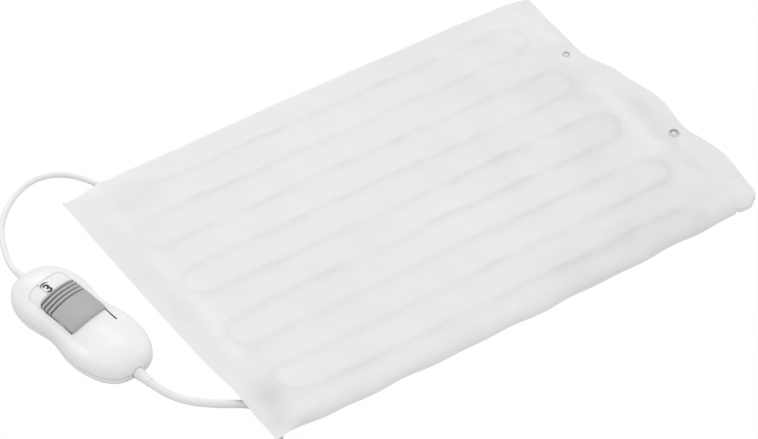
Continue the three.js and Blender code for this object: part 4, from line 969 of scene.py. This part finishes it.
def wire_show_and_painted_light(at):
    """How dark the cloth is: darker over the wire, which shows through, and over the block; painted shade in
    creases and toward the near and open sides; painted light on folds and along the left border.
    """
    x, y = at[:, 0], at[:, 1]
    wire = np.exp(-((wire_distance(x, y) / wire_mark_reach) ** 2))
    border = border_painted_light * np.exp(-(((x - left_x - border_mark_from_edge) / border_mark_reach) ** 2))
    covered = block_mark * block_share(x, y) * (1 - wire)
    # Painted shade: dimmer toward the open end, and along the near side more so toward the right
    painted_dimming = right_painted_shade * smooth((x - right_mark_from) / right_mark_run)
    near = smooth(1 - (y + half_width) / near_mark_run)
    painted_dimming = painted_dimming + near_painted_shade * near * smooth((x - left_x) / cover_length)
    # Painted light: a pale band along the left border, fading toward the near side
    pale = border * smooth((y + half_width) / border_mark_run)
    # Painted shade in creases and painted light on folds, from the rumples' heights
    return wire + covered + painted_dimming - rumple(x, y) / rumple_mark - pale


def cover():
    """Both cloths as one sewn envelope, open at the studded end."""
    x_line, y_line = np.meshgrid(
        lines(left_x, cover_length / 2, cloth_columns, end_crowd_share),
        lines(-half_width, half_width, cloth_rows, side_crowd_share),
        indexing="ij",
    )
    x, y = in_plan(x_line, y_line)
    top = cover_top_height(x, y, x_line, y_line)
    low = cover_bottom_height(x, y, x_line, y_line)
    middle = (top + low) / 2
    close = np.minimum(np.abs(top - low) / (2 * visual_cloth) / sewn_gap_share, 1)
    inner_top, inner_low = (middle + (z - middle) * close for z in (top - visual_cloth, low + visual_cloth))
    verts = np.concatenate([places(x, y, z).reshape(-1, 3) for z in (top, inner_top, inner_low, low)])
    total = x.size
    mouth, seam = border(cloth_columns, cloth_rows)
    faces = strip(mouth, 0, total) + strip(mouth, 2 * total, 3 * total)
    faces += strip(seam, 0, 3 * total) + strip(seam[::-1], total, 2 * total)
    for layer in range(4):
        faces += grid_faces(cloth_columns, cloth_rows, layer * total, layer % 2 == 1)
    obj = weld(mesh_object("cloth_cover", verts, faces, 75), 75, weld_reach)
    mark_mesh(obj.data, "wire_show_and_painted_light", wire_show_and_painted_light)
    return obj


cover_piece = link(cover(), cover_cloth, "cover_cloth", "cover_top_cloth", "cover_bottom_cloth")

felt_columns = 90
felt_rows = 70
felt_edge_share = 0.35
felt_edge_reach = 4 * felt_thickness


def inner_pad():
    """The two felt sheets, stitched together round the wire."""
    x, y = np.meshgrid(
        np.linspace(inner_low_x, inner_high_x, felt_columns),
        np.linspace(inner_low_y, inner_high_y, felt_rows),
        indexing="ij",
    )
    ridge = fall(wire_distance(x, y), ridge_flat, ridge_reach)
    top = felt_crest - ridge_height * (1 - ridge) + felt_thickness + block_rise * block_share(x, y)
    from_end = np.minimum(x - inner_low_x, inner_high_x - x)
    from_side = np.minimum(y - inner_low_y, inner_high_y - y)
    soft = np.sqrt(np.clip(np.minimum(from_end, from_side) / felt_edge_reach, 0, 1))
    base = felt_low + felt_thickness
    lift = lift_at(x, y)
    upper = base + (top - base) * np.maximum(soft, felt_edge_share) + lift
    upper = np.minimum(upper, cover_top_height(x, y, x, y) - visual_cloth - fit_gap)
    return slab("inner_felt_pad", x, y, upper, felt_low + lift, 60)


inner_piece = link(inner_pad(), felt_cloth, "felt", "inner_pad_top_felt", "inner_pad_bottom_felt")

# Press studs' caps: the profile up to the lip is in shares of the radius and the height
stud_level = 0.0048
stud_height = 0.0026
stud_side_shares = [(0, 0), (0.92, 0), (1, 0.2), (0.99, 0.55), (0.95, 0.84)]
lip_round_shares = (0.6, 0.3, 0)
bowl_steps = 8
bowl_depth_share = 0.9
# Painted shade in the caps' bowls: how strong it is
bowl_painted_shade_strength = 1.3

# Each cap's radius and the share of it that the bowl takes
stud_caps = {"far": (0.003, 0.74), "near": (0.0041, 0.76)}


def stud_cap(name, radius, bowl_share):
    """A round cap with a bowl in its top, and painted shade in the bowl."""
    lip_share, lip_level_share = stud_side_shares[-1]
    profile = list(stud_side_shares)
    for k in lip_round_shares:
        profile.append((bowl_share + (lip_share - bowl_share) * k, 1 - (1 - lip_level_share) * k * k))
    for k in range(1, bowl_steps + 1):
        t = k / bowl_steps
        profile.append((bowl_share * (1 - t), 1 - bowl_depth_share * math.sin(t * math.pi / 2)))
    obj = turned(f"stud_{name}", [(radius * r, stud_height * z) for r, z in profile], 48, 60)
    bowl = bowl_share * radius

    # Painted shade in the bowl
    def bowl_painted_shade(at):
        return bowl_painted_shade_strength * np.exp(-((np.hypot(at[:, 0], at[:, 1]) / bowl) ** 6))

    mark_mesh(obj.data, "groove_depth", bowl_painted_shade)
    place = Matrix.Translation((*studs[name], stud_level))
    link(obj, stud_grey_painted_shade, "stud_plastic", f"press_stud_{name}_cap", at=place)


for name, (radius, bowl_share) in stud_caps.items():
    stud_cap(name, radius, bowl_share)

# Controller's outline and dome, in its own frame
outline_steps = 192
outline_angles = np.arange(outline_steps) / outline_steps * 2 * math.pi
half_lobe = lobe_width / 2
inset_cap_share = 0.9999
halvings = 40


def half_outline(y):
    return half_lobe - (lobe_width - waist_width) / 2 * np.exp(-(((y - waist_at) / waist_spread) ** 2))


def outline(inset):
    power = 2 / outline_power
    sine, cosine = np.sin(outline_angles), np.cos(outline_angles)
    y = half_length * np.sign(sine) * np.abs(sine) ** power
    x = half_outline(y) * np.sign(cosine) * np.abs(cosine) ** power
    return x * (1 - inset / half_lobe), y * (1 - inset / half_length)


def ring_at(inset, z):
    return places(*outline(inset), z)


def halved(high, holds):
    """The greatest value from zero to high for which holds is true, found by halving."""
    low = np.zeros(np.shape(high))
    for _ in range(halvings):
        middle = (low + high) / 2
        good = holds(middle)
        low, high = np.where(good, middle, low), np.where(good, high, middle)
    return low


def inset_at(x, y):
    """How far inside the controller's outline a place lies."""

    def holds(inset):
        y0 = y / (1 - inset / half_length)
        x0 = x / (1 - inset / half_lobe)
        return np.abs(y0 / half_length) ** outline_power + np.abs(x0 / half_outline(y0)) ** outline_power < 1

    return halved(np.full(np.shape(x), half_lobe * inset_cap_share), holds)


def dome_height(inset):
    cosine = np.clip(1 - inset / half_lobe, 0, 1) ** (dome_power / 2)
    return dome_base + (controller_height - dome_base) * np.sqrt(1 - cosine**2) ** (2 / dome_power)


def rounded_distance(x, y, half_x, half_y, radius):
    """How far a place lies outside a rectangle with round corners; less than zero inside it."""
    qx, qy = np.abs(x) - half_x + radius, np.abs(y) - half_y + radius
    return np.hypot(np.maximum(qx, 0), np.maximum(qy, 0)) + np.minimum(np.maximum(qx, qy), 0) - radius


def track_ring(margin, directions):
    """The track's outline, widened by margin, where rays from its middle meet it."""
    half_x, half_y = track_width / 2 + margin, track_length / 2 + margin
    along_x, along_y = directions.T

    def holds(reach):
        y = (along_y - track_slant * along_x) * reach
        return rounded_distance(along_x * reach, y, half_x, half_y, track_corner_radius + margin) < 0

    reach = halved(np.full(len(directions), controller_length), holds)
    return along_x * reach, track_at + along_y * reach


# Arcs that the track's floor, the scale and the knob follow across the controller
floor_radius = ((track_width / 2) ** 2 + track_floor_crown**2) / (2 * track_floor_crown)
arcs_centre = track_floor_height + track_floor_crown - floor_radius
scale_top_radius = floor_radius + fit_gap + scale_plate_thickness
knob_under_radius = scale_top_radius + fit_gap
knob_top_radius = knob_under_radius + knob_thickness
near_fall = 0.001
near_fall_from = -0.003
near_fall_run = 0.018


def arc_height(radius, x):
    return arcs_centre + np.sqrt(radius**2 - x**2)


def floor_height(x, y):
    """The track's floor: an arc across, which falls into the dome toward the near end."""
    return arc_height(floor_radius, x) - near_fall * smooth((near_fall_from - y) / near_fall_run)


parting_top = lower_shell_height + fit_gap
rim_rounding = 0.0006
inner_ceiling = 0.0154
ceiling_inset = 0.0064
base_inner_inset = 0.003
turn_inset = 0.0065
dome_steps = 16
flank_steps = 14
lip_height = 0.0005
lip_from_y = 0.01
lip_full_y = 0.022

# Shares of the way up the shell's side, outside and inside
outer_side_shares = (0.25, 0.6)
inner_side_shares = (0.2, 0.5, 0.8)

# The track's rim in shares of its rounding and of the lip's height, then the groove round the floor:
# how far it is outside the track's outline, and its depth in shares of the lip's height
rim_shares = [(0.6, 0.08), (0.3, 0.29), (0.08, 0.6), (0, 1)]
groove_steps = [(-0.00008, 0.7), (-0.0003, 0.7), (-0.00042, 0)]
floor_shares = (0.96, 0.88, 0.76, 0.62, 0.48, 0.34, 0.2, 0.07)


def upper_shell():
    rings = [ring_at(shell_wall, parting_top), ring_at(edge_inset, parting_top)]
    for share in outer_side_shares:
        rings.append(ring_at(edge_inset * (1 - share), parting_top + (dome_base - parting_top) * share))
    outer_x, outer_y = outline(turn_inset)
    directions = np.stack([outer_x, outer_y - track_at], -1)
    directions /= np.linalg.norm(directions, axis=1)[:, None]
    rim_x, rim_y = track_ring(rim_rounding, directions)
    rim_inset = inset_at(rim_x, rim_y)
    lip = lip_height * smooth((rim_y - lip_from_y) / (lip_full_y - lip_from_y))
    correction = floor_height(rim_x, rim_y) + lip - dome_height(rim_inset)

    def dome_ring(x, y, inset):
        return places(x, y, dome_height(inset) + correction * smooth(inset / rim_inset))

    for step in range(dome_steps + 1):
        inset = turn_inset * (step / dome_steps) ** 2
        rings.append(dome_ring(*outline(inset), inset))
    for step in range(1, flank_steps + 1):
        t = step / flank_steps
        x, y = outer_x + (rim_x - outer_x) * t, outer_y + (rim_y - outer_y) * t
        rings.append(dome_ring(x, y, inset_at(x, y)))
    for margin_share, drop_share in rim_shares:
        x, y = track_ring(rim_rounding * margin_share, directions)
        rings.append(places(x, y, floor_height(x, y) + lip * (1 - drop_share)))
    for margin, depth_share in groove_steps:
        x, y = track_ring(margin, directions)
        rings.append(places(x, y, floor_height(x, y) - lip * depth_share))
    floor_x, floor_y = track_ring(groove_steps[-1][0], directions)
    for share in floor_shares:
        inner_x, inner_y = floor_x * share, track_at + (floor_y - track_at) * share
        rings.append(places(inner_x, inner_y, floor_height(inner_x, inner_y)))
    inner = [ring_at(shell_wall, parting_top)]
    for share in inner_side_shares:
        height = parting_top + (inner_ceiling - parting_top) * share
        inner.append(ring_at(shell_wall * (1 + share * share), height))
    inner.append(ring_at(ceiling_inset, inner_ceiling))
    skin = loft("controller_top", rings, 50, caps=(False, True))
    return weld(skin, 50, also=[loft("hollow", inner, 50, caps=(False, True)).data])


leg_thickness = 0.0012
leg_x = track_width / 2 - fit_gap - leg_thickness / 2
slot_width = 0.0015
slot_length = 0.0375
slot_depth = 0.006
slot_inset = 0.0014
slot_low_y = {-1: -0.0112, 1: track_at - track_length / 2 + slot_inset}
slot_high_y = slot_low_y[1] + slot_length
port_radii = {1: 0.0033, -1: 0.00405}
port_inside = 0.012
port_outside = 0.003


def slot_cutter(side):
    middle_y = (slot_high_y + slot_low_y[side]) / 2
    place = (side * leg_x, middle_y, track_floor_height)
    return block("slot", slot_width, slot_high_y - slot_low_y[side], slot_depth, place)


def port_cutters():
    found = []
    for side, radius in port_radii.items():
        ends = [(0, side * (half_length + reach), port_level) for reach in (-port_inside, port_outside)]
        found.append(rod("port", radius, *ends))
    return found


top_cutters = [slot_cutter(-1), slot_cutter(1)] + port_cutters()
top_piece = cut(upper_shell(), top_cutters, 50)
link(top_piece, shell_white, "shell_plastic", "controller_upper_shell", at=controller_matrix)

# Height and inset of the lower shell's outside
base_profile = [
    (0, 0.0045),
    (0.0002, 0.0036),
    (0.0008, 0.0024),
    (0.0018, 0.0012),
    (0.003, 0.0005),
    (0.0045, 0.00005),
    (0.0053, 0.0001),
    (0.006, 0.0004),
]
screw_x = 0.0183
screw_far_y = 0.036
screw_near_y = -0.033
sink_radius = 0.0029
sink_depth = 0.0023
cutter_overlap = 0.001


def lower_shell():
    rings = [ring_at(inset, z) for z, inset in base_profile]
    rings += [ring_at(shell_wall, lower_shell_height), ring_at(base_inner_inset, shell_wall)]
    return loft("controller_base", rings, 45)


base_cutters = port_cutters()
for y in (screw_far_y, screw_near_y):
    for x in (-screw_x, screw_x):
        base_cutters.append(rod("sink", sink_radius, (x, y, -cutter_overlap), (x, y, sink_depth)))
base_piece = cut(lower_shell(), base_cutters, 45)
link(base_piece, shell_white, "shell_plastic", "controller_lower_shell", at=controller_matrix)

# Sliding knob
knob_near_end = knob_at - knob_length / 2
knob_far_end = knob_at + knob_length / 2
groove_count = 4
groove_inset = 0.0025
groove_pitch = 0.0035
groove_places = [knob_far_end - groove_inset - k * groove_pitch for k in range(groove_count)]
groove_half_width = 0.0007
groove_depth = 0.0011
groove_power = 0.7
# Painted shade in the knob's grooves: its strength at the right, and how much more it grows toward the left
groove_mark_right = 0.35
groove_mark_more = 1.15
knob_rounding = 0.0005
near_bow = 0.0013
near_slope_run = 0.004
near_slope_drop = 0.0012
near_corner = 0.0018
far_corner = 0.003
skirt_width = 0.001
skirt_gap = 0.00025
knob_rows = 320
knob_columns = 80


def knob_painted_shade(at):
    """Painted shade on the knob: how dark it is in its grooves, more so toward the left."""
    y = at[:, 1] - track_slant * at[:, 0]
    nearest = np.min([np.abs(y - place) for place in groove_places], axis=0)
    leftward = 0.5 - at[:, 0] / track_width
    return np.exp(-((nearest / groove_half_width) ** 4)) * (groove_mark_right + groove_mark_more * leftward)


def knob():
    """A crowned plate with grooves at its far end, skirts at its sides and near end, and an open far end."""
    half_x, half_y = track_width / 2 - knob_clearance, knob_length / 2
    v = np.linspace(-half_y, half_y, knob_rows)
    corner = np.where(v < 0, near_corner, far_corner)
    into = np.clip(np.abs(v) - (half_y - corner), 0, corner)
    reach = half_x - corner + np.sqrt(corner**2 - into**2)
    s = np.sin(np.linspace(-math.pi / 2, math.pi / 2, knob_columns))
    x = s[None, :] * reach[:, None]
    y = np.repeat(v[:, None], len(s), 1)
    away = rounded_distance(x, y, half_x, half_y, corner[:, None])
    edge = np.clip(-away / knob_rounding, 0, 1)
    near_share = np.clip(1 - (y + half_y) / near_slope_run, 0, 1)
    top = arc_height(knob_top_radius, x) - knob_rounding * (1 - np.sqrt(1 - (1 - edge) ** 2))
    top = top - near_slope_drop * near_share**2
    for place in groove_places:
        off = (y + knob_at - place) / groove_half_width
        top = top - groove_depth * np.clip(1 - off**4, 0, 1) ** groove_power
    skirt = (half_x - np.abs(x) < skirt_width) | (y + half_y < skirt_width)
    under = np.where(skirt, arc_height(floor_radius, x) + skirt_gap, arc_height(knob_under_radius, x))
    y = y + near_bow * (x / half_x) ** 2 * np.clip(1 - (y + half_y) / half_y, 0, 1)
    obj = weld(slab("knob", x, y + knob_at + track_slant * x, top, under, 50), 50)
    mark_mesh(obj.data, "groove_depth", knob_painted_shade)
    return obj


link(knob(), knob_grey, "knob_plastic", "slider_knob", body="slider", at=controller_matrix)

leg_low = 0.0108
leg_bevel = 0.0002
leg_inset = 0.0005
leg_run = 0.015
leg_high_y = knob_near_end + leg_run
leg_low_y = {"left": -0.003, "right": knob_near_end + track_slant * leg_x + leg_inset}
leg_height = float(arc_height(knob_under_radius, leg_x)) - leg_low
for side, (name, low_y) in zip((-1, 1), leg_low_y.items()):
    middle = (side * leg_x, (low_y + leg_high_y) / 2, leg_low + leg_height / 2)
    leg = block(f"knob_leg_{name}", leg_thickness, leg_high_y - low_y, leg_height, middle, leg_bevel)
    link(leg, knob_grey, "knob_plastic", body="slider", at=controller_matrix)

# Digit and arc printed on the scale
digit_at = (-0.0027, 0.0305)
digit_size = 0.0108
digit_weight = 0.0003
print_thickness = 0.00003
arc_points = [(-0.0062, 0.035), (-0.0049, 0.0359), (-0.003, 0.0364), (-0.001, 0.0362), (0.0008, 0.0355)]
arc_width = 0.0007


def scale_digit():
    digit = bpy.data.curves.new("scale_digit", "FONT")
    digit.body = "3"
    digit.size = digit_size
    digit.align_x = "CENTER"
    digit.align_y = "CENTER"
    digit.offset = digit_weight
    digit.extrude = print_thickness
    obj = bpy.data.objects.new("scale_digit", digit)
    x, y = digit_at
    level = float(arc_height(scale_top_radius, x)) + print_thickness
    tilt = Matrix.Rotation(math.asin(x / scale_top_radius), 4, "Y")
    obj.matrix_world = controller_matrix @ Matrix.Translation((x, y, level)) @ tilt
    return obj


def scale_arc():
    """A printed line that is thinner toward its ends."""
    line = catmull_points([(x, y, 0) for x, y in arc_points])
    rings = []
    for k, (x, y, _) in enumerate(line):
        half = arc_width * math.sin(math.pi * (k + 2) / (len(line) + 3))
        low = float(arc_height(scale_top_radius, x))
        high = low + print_thickness
        rings.append([(x, y - half, low), (x, y - half, high), (x, y + half, high), (x, y + half, low)])
    return loft("scale_arc", rings)


link(scale_digit(), ink_black, "dark_plastic")
link(scale_arc(), ink_black, "dark_plastic", at=controller_matrix)

# Strain reliefs at the controller's ends
relief_inside = 0.008
relief_wall = 0.0007
flange_reach = 0.00075
flange_thickness = 0.002
collar_reach = 0.00045
collar_from = 0.0006
collar_rounding = 0.0002
collar_end = 0.0012
relief_tip_wall = 0.0003
relief_tip_length = 0.0002
relief_lip = 0.00005
relief_lip_length = 0.001
relief_taper_power = 1.7
relief_steps = 20


def relief_profile(cord_radius):
    """Radius and height, from the flange inside the shell to the tip and back through the bore."""
    bore = cord_radius + fit_gap
    neck = bore + relief_wall
    base = neck + collar_reach
    tip = cord_radius + relief_tip_wall
    end = relief_outside - fit_gap
    flange_end = flange_thickness - relief_inside
    flange = neck + flange_reach
    profile = [(bore, -relief_inside), (flange, -relief_inside), (flange, flange_end)]
    profile += [(neck, flange_end), (neck, collar_from), (base - collar_rounding, collar_from)]
    profile += [(base, collar_from + collar_rounding), (base, collar_end)]
    for k in range(1, relief_steps + 1):
        t = k / relief_steps
        radius = tip + (base - tip) * (1 - t) ** relief_taper_power
        profile.append((radius, collar_end + (end - collar_end - relief_tip_length) * t))
    lip = cord_radius + relief_lip
    profile += [(lip, end), (lip, end - relief_lip_length), (bore, end - 2 * relief_lip_length)]
    return profile + [(bore, -relief_inside)]


for side, diameter, name in ((1, pad_cord_diameter, "pad"), (-1, mains_diameter, "mains")):
    relief = turned(f"{name}_relief", relief_profile(diameter / 2), 48, 45)
    place = controller_matrix @ Matrix.Translation((0, side * half_length, port_level))
    place = place @ Matrix.Rotation(-side * math.pi / 2, 4, "X")
    link(relief, cord_white, "cord_jacket", f"{name}_cord_strain_relief", at=place)

# Plug, its relief and its pins
plug_x = tail_route[-1].x + fit_gap
plug_y = tail_route[-1].y
plug_relief_length = 0.022
plug_relief_root = 0.0046
plug_relief_tip = 0.0036
plug_relief_rounding = 0.0004
rib_count = 6
rib_depth = 0.0008
rib_from = 0.0006
rib_end_gap = 0.0002

# One rib and its groove, in shares of the groove's depth and of the ribs' pitch
rib_shares = [(0, 0.1), (0, 0.55), (1, 0.7), (1, 0.95)]
plug_length = 0.034
plug_half = 0.01765
plug_rounding = 0.002
plug_sharp_angle = math.radians(25)
plug_outline_shares = [(0, 0.4), (0.12, 0.56), (0.3, 0.76), (0.5, 0.92), (0.68, 1), (1, 1)]
plug_body_x = plug_x + plug_relief_length + fit_gap
pin_radius = 0.002
pin_length = 0.019
pin_seat = 0.0047
pin_pitch = 0.0186
pin_overall = pin_length + pin_seat
nose_steps = 8


def beside_plug(x, y=plug_y):
    return Matrix.Translation((x, y, plug_level))


def plug_body():
    side = [(plug_length * along, plug_half * out) for along, out in plug_outline_shares]
    points = [(x, -y) for x, y in side] + [(x, y) for x, y in reversed(side)]
    work = bmesh.new()
    bottom = [work.verts.new((x, y, -plug_thickness / 2)) for x, y in points]
    work.faces.new(list(reversed(bottom)))
    made = bmesh.ops.extrude_face_region(work, geom=work.faces[:])
    raised = [v for v in made["geom"] if isinstance(v, bmesh.types.BMVert)]
    bmesh.ops.translate(work, verts=raised, vec=(0, 0, plug_thickness))
    bmesh.ops.recalc_face_normals(work, faces=work.faces)
    edges = [e for e in work.edges if e.calc_face_angle(0) > plug_sharp_angle]
    bmesh.ops.bevel(work, geom=edges, offset=plug_rounding, segments=5, profile=0.5, affect="EDGES")
    return from_work("plug_shell", work)


def ribbed_relief():
    profile = [(0, 0), (plug_relief_tip - plug_relief_rounding, 0), (plug_relief_tip, plug_relief_rounding)]
    for k in range(rib_count):
        for depth_share, along in rib_shares:
            t = (k + along) / rib_count
            radius = plug_relief_tip + (plug_relief_root - plug_relief_tip) * t - rib_depth * depth_share
            profile.append((radius, rib_from + (plug_relief_length - rib_from - rib_end_gap) * t))
    profile += [(plug_relief_root, plug_relief_length), (0, plug_relief_length)]
    return turned("plug_relief", profile, 40)


def pin(name):
    """A plain pin with a round nose."""
    angles = np.linspace(0, math.pi / 2, nose_steps)[:-1]
    nose = [(math.cos(a) * pin_radius, pin_overall - pin_radius + math.sin(a) * pin_radius) for a in angles]
    return turned(f"pin_{name}", [(0, 0), (pin_radius, 0)] + nose + [(0, pin_overall)], 32, 50)


lying = Matrix.Rotation(math.pi / 2, 4, "Y")
plug_piece = link(plug_body(), cord_white, "cord_jacket", "plug_body", at=beside_plug(plug_body_x))
plug_relief = link(
    ribbed_relief(), cord_white, "cord_jacket", "plug_strain_relief", at=beside_plug(plug_x) @ lying
)
for side, name in ((1, "left"), (-1, "right")):
    place = beside_plug(plug_body_x + plug_length - pin_seat, plug_y + side * pin_pitch / 2) @ lying
    link(pin(name), brass_metal, "brass_metal", f"plug_pin_{name}", at=place)

# Tie round the coil
tie_angle = math.radians(60)
tie_width = 0.009
tie_reach = coil_turns_per_layer * turn_spacing / 2 + mains_diameter / 2 + fit_gap
tie_top = mains_diameter + (coil_layers - 1) * turn_spacing + 2 * fit_gap
tie_thickness = 0.001
tie_corner = 0.0022
tie_corner_steps = 6
tie_grow_share = 0.98


def tie_loop(grow, y):
    """A rectangle with round corners across the coil's strand, larger by grow on each side."""
    half_x = tie_reach + grow - tie_corner
    low, high = tie_thickness - grow + tie_corner, tie_top + tie_thickness + grow - tie_corner
    found = []
    for quarter, (x, z) in enumerate(((half_x, high), (-half_x, high), (-half_x, low), (half_x, low))):
        for k in range(tie_corner_steps + 1):
            a = math.pi / 2 * (quarter + k / tie_corner_steps)
            found.append((x + tie_corner * math.cos(a), y, z + tie_corner * math.sin(a)))
    return found


def tie():
    outward = tie_thickness * tie_grow_share
    half = tie_width / 2
    rings = [tie_loop(grow, y) for grow, y in ((0, -half), (0, half), (outward, half), (outward, -half))]
    return weld(loft("tie_band", rings, caps=(False, False), closed=True), 40)


tie_place = coil_centre + Vector((math.cos(tie_angle), math.sin(tie_angle), 0)) * coil_mid_radius
tie_matrix = Matrix.Translation((tie_place.x, tie_place.y, 0)) @ Matrix.Rotation(tie_angle, 4, "Z")
tie_piece = link(tie(), dark_plastic, "dark_plastic", "coil_tie", at=tie_matrix)

# Materials of the CAD nodes that stay
ends = ("far", "near")
inside_materials = [
    (stud_white, [f"press_stud_{end}_{part}" for end in ends for part in ("socket", "stud", "back")]),
    (steel_metal, [f"shell_screw_{end}_{side}" for end in ends for side in ("left", "right")]),
    (steel_metal, ["thermal_cutout", "detent_spring"]),
    (brass_metal, ["contact_strip_left", "contact_strip_right", "contact_bridge"]),
    (soft_white, ["terminal_block_base", "terminal_block_lid", "mains_terminal_block", "pad_terminal_block"]),
    (soft_white, ["pad_cord_clamp", "mains_cord_clamp"]),
    (dark_plastic, ["wire_end_sleeve", "switch_base", "power_control_part", "slider_carrier"]),
    (scale_pale, ["fuse", "scale_plate"]),
    (wire_jacket, ["heating_wire"]),
    (board_green, ["circuit_board"]),
    (yellow_plastic, ["suppression_capacitor"]),
]
for material, names in inside_materials:
    for name in names:
        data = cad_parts[name].data
        data.materials.clear()
        data.materials.append(material)

# Floor and light
floor_half = 6
floor_level = -0.0001
floor_roughness = 0.9
floor_grey = 0.72
floor_glow = 0.99
world_strength = 0.9
floor_corners = [(x * floor_half, y * floor_half, 0) for x, y in ((-1, -1), (1, -1), (1, 1), (-1, 1))]
floor = mesh_object("floor", floor_corners, [(0, 1, 2, 3)])
show(floor)
floor.location.z = floor_level


def floor_white():
    """Matt white that the camera sees as almost evenly lit."""
    made = Surface("floor_white")
    made.look({"Roughness": floor_roughness, "Base Color": (floor_grey, floor_grey, floor_grey, 1)})
    glow = made.feed(made.node("Emission"), {"Color": (1, 1, 1, 1)})
    seen = made.calc("MULTIPLY", made.node("LightPath").outputs["Is Camera Ray"], floor_glow)
    mix = made.feed(made.node("MixShader"), {"Fac": seen, 1: made.shader.outputs[0], 2: glow.outputs[0]})
    made.feed(made.tree.nodes["Material Output"], {"Surface": mix.outputs[0]})
    return made.material


floor.data.materials.append(floor_white())

world = bpy.data.worlds.new("studio")
scene.world = world
world.use_nodes = True
backdrop = world.node_tree.nodes["Background"]
backdrop.inputs["Color"].default_value = (1, 1, 1, 1)
backdrop.inputs["Strength"].default_value = world_strength

# Each light's place, width, height and power
softboxes = {
    "back_light": ((0.2, 1.5, 1.2), 1, 0.7, 4.2),
    "left_light": ((-1.1, 0.2, 1.9), 1.2, 1.2, 1.8),
    "right_light": ((2.2, -0.4, 2.6), 2, 2, 9),
}
for name, (at, width, height, power) in softboxes.items():
    data = bpy.data.lights.new(name, "AREA")
    data.shape = "RECTANGLE"
    data.size = width
    data.size_y = height
    data.energy = power
    aim(bpy.data.objects.new(name, data), at, (0, 0, 0))
